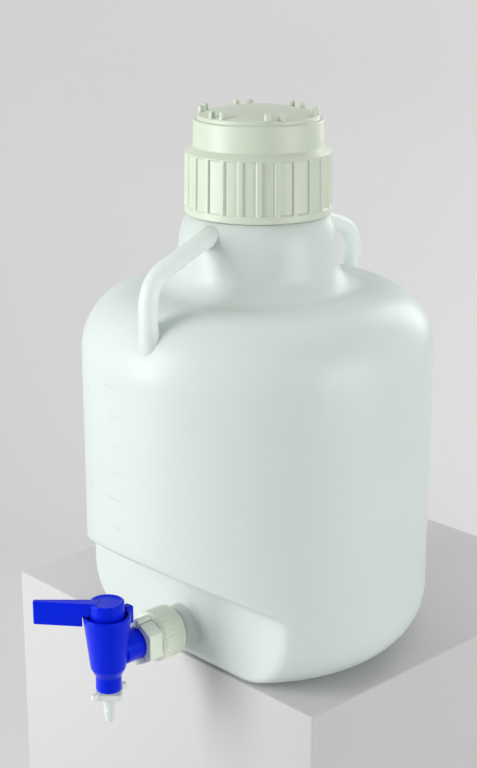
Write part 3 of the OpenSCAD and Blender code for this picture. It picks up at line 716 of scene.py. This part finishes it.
def handle_path():
    """The handle's centre line as (distance from the bottle's axis, height), root first."""
    sweep = 90 - math.degrees(HANDLE_SLOPE)
    bend_x = HANDLE_LEG_R - HANDLE_BEND_R
    end_x = bend_x + HANDLE_BEND_R * math.cos(math.radians(sweep))
    grip = (end_x - HANDLE_ROOT[0]) / math.cos(HANDLE_SLOPE)
    end_z = HANDLE_ROOT[1] - grip * math.sin(HANDLE_SLOPE)
    bend_z = end_z - HANDLE_BEND_R * math.sin(math.radians(sweep))
    points = line(HANDLE_ROOT, (end_x, end_z), HANDLE_STEP)
    points += arc((bend_x, bend_z), HANDLE_BEND_R, sweep, 0, HANDLE_STEP)
    points += line((HANDLE_LEG_R, bend_z - HANDLE_STEP), (HANDLE_LEG_R, HANDLE_FOOT_Z), HANDLE_STEP)
    return np.array(points)


HANDLE_PATH = handle_path()


def handle_flare(index, steps):
    """Extra half-width at a step along the handle: its roots spread where they meet the bottle."""
    root = np.linalg.norm(HANDLE_PATH[index] - HANDLE_PATH[0])
    foot = HANDLE_PATH[index][1] - HANDLE_FOOT_FLARE_Z if index > steps / 2 else 1e3
    wide = max(0.0, 1 - root / HANDLE_FLARE_L) ** 2 * HANDLE_FLARE
    return wide + max(0.0, 1 - max(0.0, foot) / HANDLE_FOOT_FLARE_L) ** 2 * HANDLE_FOOT_FLARE


def turned(points, angle):
    """Points turned round Z."""
    out = points.copy()
    out[:, 0] = points[:, 0] * math.cos(angle) - points[:, 1] * math.sin(angle)
    out[:, 1] = points[:, 0] * math.sin(angle) + points[:, 1] * math.cos(angle)
    return out


def bottle_skin(inset):
    """Rows of points over the bottle, from the base up to the ledge."""
    angles = bottle_angles()
    profile = bottle_profile(inset)
    return np.array([circle_from_spigot(angles, recessed(r, z, angles, inset), z) for r, z in profile])


def middle_of_neck_wall(z):
    """Distance from the axis to the middle of the neck's wall at height z."""
    up = np.clip(z - NECK_ROUND_Z, 0, None)
    return NECK_R - NECK_DRAFT - NECK_ROUND_R + np.sqrt((NECK_ROUND_R - WALL / 2) ** 2 - up**2)


def middle_of_shoulder_wall(r):
    """Height of the middle of the shoulder's wall at a distance from the axis."""
    out = np.clip(r - (BOTTLE_R - SHOULDER_R), 0, SHOULDER_R - WALL / 2)
    return SHOULDER_H - SHOULDER_R + np.sqrt((SHOULDER_R - WALL / 2) ** 2 - out**2)


def handle_mesh(name, side):
    """One handle: a rounded bar along its path. Its ends spread and stop inside the bottle's wall."""
    steps = len(HANDLE_PATH)
    around = np.arange(HANDLE_SIDES) * TURN / HANDLE_SIDES
    half_gap = (HANDLE_W - HANDLE_T) / 2
    rows = []
    for i in range(steps):
        ahead = HANDLE_PATH[min(i + 1, steps - 1)] - HANDLE_PATH[max(i - 1, 0)]
        ahead = ahead / np.linalg.norm(ahead)
        outer = np.array((-ahead[1], ahead[0]))
        flare = handle_flare(i, steps)
        x = (HANDLE_T / 2 + flare) * np.cos(around) + half_gap * np.sign(np.cos(around))
        inner = np.where(np.sin(around) < 0, HANDLE_INNER_FLARE * flare, 0)
        lift = (HANDLE_T / 2 + inner) * np.sin(around)
        radial = HANDLE_PATH[i][0] + outer[0] * lift
        height = HANDLE_PATH[i][1] + outer[1] * lift
        if i < steps / 2:
            radial = np.maximum(radial, middle_of_neck_wall(height))
        else:
            height = np.maximum(height, middle_of_shoulder_wall(np.hypot(x, radial)))
        rows.append(turned(np.stack([x, side * radial, height], axis=1), HANDLE_CLOCK))
    return grid(name, rows)


def lip_rows(angles):
    """Rows over the ledge, the threaded finish, the lip and down the inside of the mouth."""
    step_z = LIP_Z - LIP_H
    corners = [
        (LEDGE_R, LEDGE_Z, 0),
        (FINISH_R, LEDGE_Z, 1.2),
        (FINISH_R, step_z - 2, 0.8),
        (LIP_R, step_z, 0.8),
        (LIP_R, LIP_Z, 0.5),
        (MOUTH_R, LIP_Z, 0.6),
        (MOUTH_R, LEDGE_Z - WALL + 0.4, 0),
    ]
    return [circle_from_spigot(angles, r, z) for r, z in soft(corners, 4, closed=False)]


def graduation_marks():
    """Raised bars on the barrel, to the left of the spigot, fading into the wall at their ends."""
    half = MARK_W / 2
    corners = [(-MARK_SUNK, -half, 0), (MARK_T, -half, 0.3), (MARK_T, half, 0.3), (-MARK_SUNK, half, 0)]
    section = soft(corners, 3)
    parts = []
    for k in range(MARK_COUNT):
        wide = MARK_LONG if k % MARK_GROUP == 0 else MARK_SHORT
        z = MARK_TOP_Z - k * MARK_PITCH
        rows = []
        for turn in np.linspace(0, wide, MARK_STEPS):
            a = math.radians(MARK_START - turn)
            end = min(turn, wide - turn) / MARK_FADE
            rise = 1 - (1 - min(1, end)) ** 2
            radii = BOTTLE_R + section[:, 0] * rise - MARK_T * (1 - rise)
            heights = z + section[:, 1] * rise
            rows.append(np.stack([radii * math.cos(a), radii * math.sin(a), heights], axis=1))
        parts.append(grid(f"mark_{k}", rows))
    return parts


def number(text, z):
    """A small raised number on the barrel, beside the long marks."""
    curve = bpy.data.curves.new(f"number_{text}", "FONT")
    curve.body = text
    curve.size = NUMBER_SIZE * MM
    curve.extrude = NUMBER_T * MM
    curve.bevel_depth = NUMBER_EDGE * MM
    curve.align_x = "CENTER"
    curve.align_y = "CENTER"
    obj = bpy.data.objects.new(f"number_{text}", curve)
    bpy.context.scene.collection.objects.link(obj)
    graph = bpy.context.evaluated_depsgraph_get()
    mesh = bpy.data.meshes.new_from_object(obj.evaluated_get(graph))
    bpy.data.objects.remove(obj)
    radius = BOTTLE_R * MM
    for v in mesh.vertices:
        x, y, out = v.co
        a = math.radians(NUMBER_ANGLE) + x / radius
        v.co = ((radius + out) * math.cos(a), (radius + out) * math.sin(a), z * MM + y)
    made = bpy.data.objects.new(f"number_{text}", mesh)
    bpy.context.scene.collection.objects.link(made)
    return made


def boss():
    """The outlet's boss with its collar and thread, along the outlet's axis."""
    shape = [
        (BOSS_BORE_R, BOSS_ROOT_S, 0),
        (BOSS_FOOT_R, BOSS_ROOT_S, 0),
        (BOSS_FOOT_R, FLAT_S - 0.1, 0),
        (BOSS_COLLAR_R, FLAT_S + 0.2, 4),
        (BOSS_COLLAR_R, BOSS_COLLAR_S, 1.2),
        (BOSS_R, BOSS_COLLAR_S + 1, 0.6),
        (BOSS_R, BOSS_FACE_S, 0.6),
        (BOSS_BORE_R, BOSS_FACE_S, 0.4),
    ]
    skin = lathe("boss_skin", soft(shape, 6), 96)
    ridge = thread("boss_thread", BOSS_THREAD, NUT_LEAD, SMALL_RIDGE)
    both = merge("outlet_boss", [skin, ridge])
    both.data.transform(along_outlet())
    return both


def make_bottle():
    """Shell, boss, thread, handles, marks and numbers, all one moulding."""
    outside = bottle_skin(0.0)
    inside = bottle_skin(WALL)
    shell = grid("bottle_shell", [*outside, *lip_rows(bottle_angles()), *inside[::-1]])
    parts = [shell, boss(), thread("neck_thread", NECK_THREAD, CAP_LEAD, LARGE_RIDGE)]
    parts += [handle_mesh("handle_front", -1), handle_mesh("handle_back", 1)]
    parts += graduation_marks()
    parts += [number("2", MARK_TOP_Z - NUMBER_DROP), number("1", MARK_TOP_Z - MARK_GROUP * MARK_PITCH)]
    bottle = merge("bottle", parts)
    finish(bottle, MILKY, "bottle", "bottle", "carboy_body")


# ---- Cap ----


def flute_cut(angles, z):
    """Depth of the flutes at a height of the skirt: ribs stand between flutes that close at both ends."""
    along = (z - CAP_Z) / (CAP_SKIRT_TOP_Z - CAP_Z)
    full = CAP_SKIRT_R + (CAP_SKIRT_TOP_R - CAP_SKIRT_R) * along
    pitch = TURN / RIB_COUNT
    phase = (angles - RIB_CLOCK + pitch / 2) % pitch - pitch / 2
    side = np.clip((np.abs(phase) * full - RIB_W / 2) / FLUTE_SIDE_W + 0.5, 0, 1)
    side = side * side * (3 - 2 * side)
    end = min(1, max(0, (z - FLUTE_LOW_Z) / FLUTE_END_L), max(0, (FLUTE_HIGH_Z - z) / FLUTE_END_L))
    return FLUTE_DEPTH * side * end * end * (3 - 2 * end)


def dome_rise(r):
    """How far the domed disc stands over its edge at a distance from the axis."""
    return CAP_DOME_H * (1 - (r / CAP_DOME_R) ** 2)


def cap_skin():
    """The cap's skin: up the ribbed skirt and the crown, over the dome, and back down inside."""
    steps = RIB_COUNT * RIB_STEPS
    angles = np.arange(steps) * TURN / steps
    shape = [
        (CAP_BORE_R, CAP_Z, 0.4),
        (CAP_SKIRT_R, CAP_Z, 0.9),
        (CAP_SKIRT_TOP_R, CAP_SKIRT_TOP_Z, 1.3),
        (CAP_CROWN_R + 0.4, CAP_CROWN_Z, 0.8),
        (CAP_CROWN_R, CAP_TOP_Z, 0.9),
        (CAP_DISC_R + 0.2, CAP_TOP_Z, 0.7),
        (CAP_DISC_R, CAP_DISC_Z, 0.9),
        (0, CAP_DISC_Z + 1, 0),
    ]
    outline = soft(shape, 5, closed=False)
    rows = []
    for (r0, z0), (r1, z1) in zip(outline[:-2], outline[1:-1], strict=True):
        skirt = z1 - z0 > 20
        count = CAP_SKIRT_ROWS if skirt else 1
        for k in range(count):
            z = z0 + (z1 - z0) * k / count
            r = r0 + (r1 - r0) * k / count
            rows.append((r - flute_cut(angles, z), z))
    for k in range(CAP_DOME_STEPS + 1):
        r = max(CAP_DOME_R * (1 - k / CAP_DOME_STEPS), PIN_R)
        rows.append((r, CAP_DISC_Z + dome_rise(r)))
    for k in range(CAP_ROOF_STEPS + 1):
        r = max(CAP_ROOF_R * k / CAP_ROOF_STEPS, PIN_R)
        rows.append((r, CAP_DISC_Z - CAP_ROOF_T + dome_rise(r)))
    rows += [
        (CAP_ROOF_R + 0.2, CAP_ROOF_Z),
        (CAP_CROWN_BORE_R - 0.5, CAP_ROOF_Z),
        (CAP_CROWN_BORE_R, CAP_ROOF_Z - 0.5),
        (CAP_CROWN_BORE_R, CAP_CROWN_BORE_Z),
        (CAP_BORE_R, CAP_BORE_TOP_Z),
        (CAP_BORE_R, CAP_Z + 0.4),
    ]
    return grid("cap_skin", [circle(angles, r, z) for r, z in rows], ring=True)


def pegs():
    """Pairs of short pegs that stand on the disc's edge."""
    shape = [
        (0, CAP_DISC_Z - 1, 0),
        (PEG_R + 0.4, CAP_DISC_Z - 1, 0),
        (PEG_R, CAP_DISC_Z + 1.2, 1),
        (PEG_R - 0.1, PEG_TOP_Z, 1.5),
        (0, PEG_TOP_Z, 0),
    ]
    outline = soft(shape, 5, closed=False)
    out = []
    for k in range(PEG_PAIRS):
        for side in (-1, 1):
            a = CAP_CLOCK + k * TURN / PEG_PAIRS + side * PEG_HALF_ANGLE
            place = Matrix.Rotation(a, 4, "Z") @ Matrix.Translation((PEG_PLACE_R * MM, 0, 0))
            out.append(lathe(f"peg_{k}_{side}", outline, 24, place))
    return out


def make_cap():
    """Ribbed skirt, crown, domed disc, pegs and thread."""
    ridge = thread("cap_thread", CAP_THREAD, CAP_LEAD, LARGE_RIDGE)
    cap = merge("cap", [cap_skin(), *pegs(), ridge])
    finish(cap, CAP_GREY, "cap", "cap", "screw_cap")


def make_liner():
    """The flat sealing ring under the cap's roof, which seats on the lip."""
    shape = [
        (CAP_ROOF_R, LIP_Z, 0.3),
        (LINER_R, LIP_Z, 0.3),
        (LINER_R, CAP_ROOF_Z, 0.3),
        (CAP_ROOF_R, CAP_ROOF_Z, 0.3),
    ]
    finish(lathe("liner", soft(shape, 3), 128), SEAL, "liner", "seal", "cap_liner")


# ---- Coupling ----


def make_nut():
    """The coupling nut: fine ribs round its barrel, a lip in front and a thread inside."""
    steps = NUT_RIBS * NUT_RIB_STEPS
    angles = np.arange(steps) * TURN / steps
    wave = 0.5 + 0.5 * np.cos(angles * NUT_RIBS)
    rib = np.clip((wave - 0.2) / 0.6, 0, 1)
    shape = [
        (NUT_BORE_R, NUT_REAR_S, 0.4),
        (NUT_R - 0.3, NUT_REAR_S, 0.6),
        (NUT_R, NUT_REAR_S + 2, 0.4),
        (NUT_R, NUT_FRONT_S - 2.6, 0.5),
        (NUT_R - 2, NUT_FRONT_S, 1.1),
        (NUT_LIP_R, NUT_FRONT_S, 0.4),
        (NUT_LIP_R, NUT_LIP_S, 0),
        (NUT_BORE_R, NUT_LIP_S, 0.4),
    ]
    rows = []
    for r, s in soft(shape, 5):
        ribbed = r > NUT_R - 0.5 and s < NUT_FRONT_S - 2.3
        depth = NUT_RIB_T * min(1, max(0, s - NUT_REAR_S)) if ribbed else 0
        rows.append(circle(angles, r - depth * (1 - rib), s))
    skin = grid("nut_skin", rows, ring=True)
    ridge = thread("nut_thread", NUT_THREAD, NUT_LEAD, SMALL_RIDGE)
    nut = merge("nut", [skin, ridge])
    nut.data.transform(along_outlet())
    finish(nut, CAP_GREY_PAINTED_LIT, "nut", "cap", "coupling_nut")


def make_split_ring():
    """Six flats with softened corners, a bore, a slit right through and two short slits."""
    corner = RING_AF / 2 / math.cos(math.radians(30))
    turns = np.radians(30 + 60 * np.arange(6))
    hexagon = [(corner * math.cos(a), corner * math.sin(a), RING_CORNER_R) for a in turns]
    ring = prism("split_ring_soft", soft(hexagon, 4), RING_REAR_S, RING_FRONT_S)
    low = RING_REAR_S - 2
    high = RING_FRONT_S + 2
    combine(ring, cylinder("bore", RING_BORE_R, low, high, 96), "DIFFERENCE")
    half = RING_SLIT_W / 2
    slit = [(0, -half), (RING_SLIT_REACH, -half), (RING_SLIT_REACH, half), (0, half)]
    for k in range(3):
        bottom = low if k == 0 else RING_FRONT_S - RING_SHORT_SLIT_L
        turn = Matrix.Rotation(math.radians(RING_SLIT_ANGLE + 120 * k), 4, "Z")
        combine(ring, prism("slit", slit, bottom, high, place=turn), "DIFFERENCE")
    soften(ring, 0.45, 2)
    ring.data.transform(along_outlet())
    smooth_faces(ring)
    finish(ring, CAP_GREY_PAINTED_LIT, "ring", "cap", "split_ring")


def make_gasket():
    """The flat ring between the boss's face and the spigot's flange."""
    shape = [
        (INLET_BORE_R, BOSS_FACE_S, 0.3),
        (BOSS_R, BOSS_FACE_S, 0.3),
        (BOSS_R, GASKET_FACE_S, 0.3),
        (INLET_BORE_R, GASKET_FACE_S, 0.3),
    ]
    gasket = lathe("gasket", soft(shape, 3), 96, along_outlet())
    finish(gasket, SEAL, "bottle", "seal", "outlet_gasket")


# ---- Spigot ----


def valve_barrel():
    """The short spout, and the upright barrel over it, which widens from its foot up to the rim."""
    shape = [
        (DRAIN_R, SPOUT_Z + SPOUT_BORE_L, 0),
        (SPOUT_BORE_R, SPOUT_Z + SPOUT_BORE_L, 0),
        (SPOUT_BORE_R, SPOUT_Z, 0.3),
        (SPOUT_R, SPOUT_Z, 1.6),
        (SPOUT_R, SPOUT_TOP_Z, 1.0),
        (BARREL_FOOT_R, BARREL_FOOT_Z, 1.5),
        (BARREL_R, BARREL_LOW_Z, 4),
        (RIM_R, RIM_Z, 0.8),
        (WELL_R, RIM_Z, 0.6),
        (WELL_R, WELL_Z, 0.5),
        (PLUG_BORE_R, WELL_Z, 0.4),
        (PLUG_BORE_R, PLUG_BORE_LOW_Z, 0),
        (DRAIN_R, PLUG_BORE_LOW_Z, 0),
    ]
    return lathe("barrel", soft(shape, 6), 128, at_valve())


def inlet_web():
    """The web under the inlet. Its lower edge climbs away from the barrel."""
    near = WEB_START - VALVE_S
    far = WEB_END - VALVE_S
    half = WEB_START_W / 2
    half_end = WEB_END_W / 2
    plan = [(-half, near), (half, near), (half_end, far), (-half_end, far)]
    web = prism("web", plan, WEB_START_LOW_Z, OUTLET_Z)
    for v in web.data.vertices:
        if v.co.z < OUTLET_Z / 2 * MM and v.co.y > (near + far) / 2 * MM:
            v.co.z = WEB_END_LOW_Z * MM
    return web


def stop_lug():
    """The lug that the lever turns against."""
    near = LUG_START - VALVE_S
    far = LUG_END - VALVE_S
    half = LUG_W / 2
    plan = [(-half, near), (half, near), (half, far), (-half, far)]
    return prism("lug", plan, LUG_LOW_Z, LUG_TOP_Z, 0.8)


def inlet_flange():
    """The flange at the inlet's end, which the nut holds against the gasket."""
    shape = [
        (INLET_BORE_R, GASKET_FACE_S, 0),
        (BOSS_R, GASKET_FACE_S, 0.3),
        (BOSS_R, INLET_FLANGE_S, 0.3),
        (INLET_BORE_R, INLET_FLANGE_S, 0),
    ]
    return lathe("flange", soft(shape, 3), 96, along_outlet())


def make_spigot():
    """Valve barrel, spout, inlet pipe and stop lug, run together as one moulding."""
    barrel = valve_barrel()
    inlet = cylinder("pipe", INLET_R, INLET_START_S, INLET_END_S, 96, along_outlet())
    for extra in (inlet, inlet_web(), stop_lug()):
        combine(barrel, extra, "UNION")
    well = cylinder("well", WELL_R, WELL_Z, RIM_Z + 14, 96, at_valve())
    plug_bore = cylinder("plug_bore", PLUG_BORE_R, PLUG_BORE_LOW_Z, WELL_Z + 12, 96, at_valve())
    combine(barrel, well, "DIFFERENCE")
    combine(barrel, plug_bore, "DIFFERENCE")
    melt(barrel, 0.45, 5)
    spigot = merge("spigot", [barrel, inlet_flange()])
    finish(spigot, ROYAL_BLUE, "bottle", "spigot", "spigot_body")


def key_head():
    """The round head with its dimple, and the lever, which runs along local +X."""
    turned_place = at_valve(LEVER_ANGLE)
    shape = [
        (0, HEAD_LOW_Z, 0),
        (HEAD_R, HEAD_LOW_Z, 0.3),
        (HEAD_R, HEAD_TOP_Z, 1.1),
        (DIMPLE_R, HEAD_TOP_Z - 0.1, 0.5),
        (DIMPLE_R - 0.6, HEAD_TOP_Z - 0.8, 0.5),
        (0, HEAD_TOP_Z - 0.9, 0),
    ]
    head = lathe("head", soft(shape, 5, closed=False), 96, turned_place)
    plan = [
        (LEVER_ROOT_X, -LEVER_HALF_TIP, 1.0),
        (LEVER_TIP_X, -LEVER_HALF_TIP, 1.0),
        (LEVER_TIP_X, LEVER_HALF_TIP, 1.0),
        (HEAD_R, LEVER_HALF_ROOT, 1.0),
        (LEVER_ROOT_X, LEVER_HALF_ROOT, 1.0),
    ]
    blade = prism("blade", soft(plan, 3), LEVER_LOW_Z, LEVER_TOP_Z, 0.7, turned_place)
    hollow = cylinder("hollow", LEVER_CLEAR_R, LEVER_LOW_Z - 9.4, LEVER_CLEAR_Z, 96, at_valve())
    combine(blade, hollow, "DIFFERENCE")
    combine(head, blade, "UNION")
    melt(head, 0.4, 3)
    return head


def key_plug():
    """The hollow plug with the port through its wall, under the lever."""
    turned_place = at_valve(LEVER_ANGLE)
    shape = [
        (PLUG_HOLLOW_R, PLUG_LOW_Z, 0),
        (PLUG_R, PLUG_LOW_Z, 0.3),
        (PLUG_R, WELL_Z, 0.3),
        (STEM_R, WELL_Z, 0),
        (STEM_R, STEM_TOP_Z, 0),
        (PLUG_HOLLOW_R, PLUG_BORE_TOP_Z, 0),
    ]
    plug = lathe("plug", soft(shape, 3), 96, turned_place)
    at_outlet = Matrix.Translation((0, 0, OUTLET_Z * MM))
    port_place = turned_place @ at_outlet @ Matrix.Rotation(math.radians(-90), 4, "Y")
    combine(plug, cylinder("port", PORT_R, 0, PORT_L, 64, port_place), "DIFFERENCE")
    return plug


def make_key():
    """Head, lever and plug, which turn as one."""
    key = merge("key", [key_head(), key_plug()])
    finish(key, ROYAL_BLUE, "key", "spigot", "spigot_key")


def make_key_seals():
    """The two sealing rings in the plug's grooves."""
    around = np.arange(16) * TURN / 16
    seals = [("seal_upper", "key_seal_upper", UPPER_SEAL_Z), ("seal_lower", "key_seal_lower", LOWER_SEAL_Z)]
    for name, node, z in seals:
        outline = [(GROOVE_R + SEAL_R * math.cos(a), z + SEAL_R * math.sin(a)) for a in around]
        finish(lathe(name, outline, 96, at_valve()), SEAL, "key", "seal", node)


def nozzle_stem(low, top):
    """The barbed tail under the flange and the shank over it, with the bore through both."""
    tail = NOZZLE_END_Z
    shape = [
        (NOZZLE_BORE_R, tail, 0.3),
        (TAIL_TIP_R, tail, 0.7),
        (BARB_R, tail + BARB_H, 0.4),
        (TAIL_R, tail + BARB_H + 0.6, 0.3),
        (TAIL_ROOT_R, low, 0),
        (SHANK_R, top, 0),
        (SHANK_R, top + SHANK_L, 0.4),
        (NOZZLE_BORE_R, top + SHANK_L, 0),
    ]
    return lathe("stem", soft(shape, 4), 64, at_valve())


def nozzle_flange(low, top):
    """The square flange with its corners cut, and two finger wings that stand clear of the spout."""
    cut = FLANGE_CORNER
    square = []
    for k in range(4):
        a = math.radians(90 * k)
        for side in (-1, 1):
            blunt = side * (math.sqrt(2) * FLANGE_HALF_W - cut)
            x = cut * math.cos(a) - blunt * math.sin(a)
            y = cut * math.sin(a) + blunt * math.cos(a)
            square.append((x, y, 0.8))
    flange = prism("flange", soft(square, 3), low, top, 0.5, at_valve())
    half = WING_HALF_W
    wing = [(-half, -WING_REACH, 1), (half, -WING_REACH, 1), (half, WING_REACH, 1), (-half, WING_REACH, 1)]
    wings = prism("wings", soft(wing, 3), low + WING_LOW, top + WING_HIGH, 0.5, at_valve())
    combine(wings, cylinder("clear", WING_CLEAR_R, top, top + 9, 96, at_valve()), "DIFFERENCE")
    combine(flange, wings, "UNION")
    through = cylinder("through", FLANGE_HOLE_R, low - 1, top + 9, 48, at_valve())
    combine(flange, through, "DIFFERENCE")
    melt(flange, 0.25, 2)
    return flange


def make_nozzle():
    """Shank with its thread, square flange with two finger wings, and barbed hose tail."""
    top = SPOUT_Z - WASHER_T
    low = top - NOZZLE_FLANGE_T
    stem = nozzle_stem(low, top)
    flange = nozzle_flange(low, top)
    ridge = thread("shank_thread", SHANK_THREAD, NOZZLE_LEAD, SMALL_RIDGE)
    ridge.data.transform(at_valve())
    nozzle = merge("nozzle_soft", [stem, flange, ridge])
    finish(nozzle, NATURAL, "nozzle", "nozzle", "nozzle")


def make_washer():
    """The flat ring between the nozzle's flange and the spout."""
    low = SPOUT_Z - WASHER_T
    shape = [
        (WASHER_BORE_R, low, 0.2),
        (WASHER_R, low, 0.2),
        (WASHER_R, SPOUT_Z, 0.2),
        (WASHER_BORE_R, SPOUT_Z, 0.2),
    ]
    washer = lathe("washer", soft(shape, 2), 64, at_valve())
    finish(washer, NATURAL, "washer", "nozzle", "nozzle_washer")


# ---- Stage ----


def from_view(right, away, up):
    """A place given from the bottle's axis, as the camera sees it."""
    side = Vector((math.cos(VIEW_ANGLE), math.sin(VIEW_ANGLE), 0))
    forward = Vector((-math.sin(VIEW_ANGLE), math.cos(VIEW_ANGLE), 0))
    return side * right + forward * away + Vector((0, 0, up))


def make_stage():
    """A pale block under the bottle, with the spigot past its edge, before a plain pale backdrop."""
    pale = plastic("pale backdrop", (0.60, 0.60, 0.60), (0.62, 0.62, 0.62), 0.75, (60, 0.04), 3)
    stone = plastic("pale plinth", (0.49, 0.49, 0.49), (0.51, 0.51, 0.51), 0.75, (60, 0.04), 3)
    block = prism("plinth", PLINTH_CORNERS, FLOOR_Z, 0, 1.2)
    sweep = [(FLOOR_NEAR, FLOOR_Z), (FLOOR_FAR, FLOOR_Z)]
    sweep += arc((FLOOR_FAR, FLOOR_Z + WALL_BEND_R), WALL_BEND_R, -90, 0, 60)
    sweep += [(FLOOR_FAR + WALL_BEND_R, WALL_TOP_Z)]
    rows = []
    for away, up in sweep:
        sides = (-BACKDROP_HALF_W, BACKDROP_HALF_W)
        rows.append([tuple(from_view(right, away, up)) for right in sides])
    backdrop = grid("backdrop", rows, around=False)
    for obj, material in ((block, stone), (backdrop, pale)):
        obj.data.materials.append(material)


def area_light(name, place, target_z, size, power):
    """A rectangular light that faces a point on the bottle's axis."""
    light = bpy.data.lights.new(name, "AREA")
    light.shape = "RECTANGLE"
    light.size, light.size_y = size
    light.energy = power
    obj = bpy.data.objects.new(name, light)
    obj.location = place
    obj.rotation_euler = (Vector((0, 0, target_z)) - place).to_track_quat("-Z", "Y").to_euler()
    bpy.context.scene.collection.objects.link(obj)


def make_light():
    """A large soft light from the left, a weaker one from the right, one above and one behind."""
    area_light("key", from_view(-1.4, -0.45, 0.5), 0.18, (0.7, 1.3), 26)
    area_light("fill", from_view(1.4, -1.0, 0.35), 0.18, (1.0, 1.2), 18)
    area_light("top", from_view(0.1, 0.3, 1.7), 0.25, (1.2, 1.2), 7)
    area_light("rim", from_view(1.0, 1.2, 0.8), 0.2, (0.6, 1.2), 10)
    world = bpy.data.worlds.new("studio")
    world.use_nodes = True
    background = world.node_tree.nodes["Background"]
    background.inputs["Color"].default_value = (1, 1, 1, 1)
    background.inputs["Strength"].default_value = DAYLIGHT
    bpy.context.scene.world = world


def make_camera():
    """The photo's camera, a little above the bottle and looking down at it."""
    data = bpy.data.cameras.new("camera")
    data.sensor_width = CAMERA_SENSOR
    data.sensor_fit = "AUTO"
    data.lens = CAMERA_LENS
    data.clip_start = 0.05
    data.clip_end = 20
    camera = bpy.data.objects.new("camera", data)
    camera.location = CAMERA_PLACE
    camera.rotation_euler = (math.radians(90) - VIEW_DOWN, 0, VIEW_ANGLE)
    bpy.context.scene.collection.objects.link(camera)
    bpy.context.scene.camera = camera


make_bottle()
make_cap()
make_liner()
make_nut()
make_split_ring()
make_gasket()
make_spigot()
make_key()
make_key_seals()
make_nozzle()
make_washer()
make_stage()
make_light()
make_camera()
bpy.context.scene.view_settings.view_transform = "Standard"
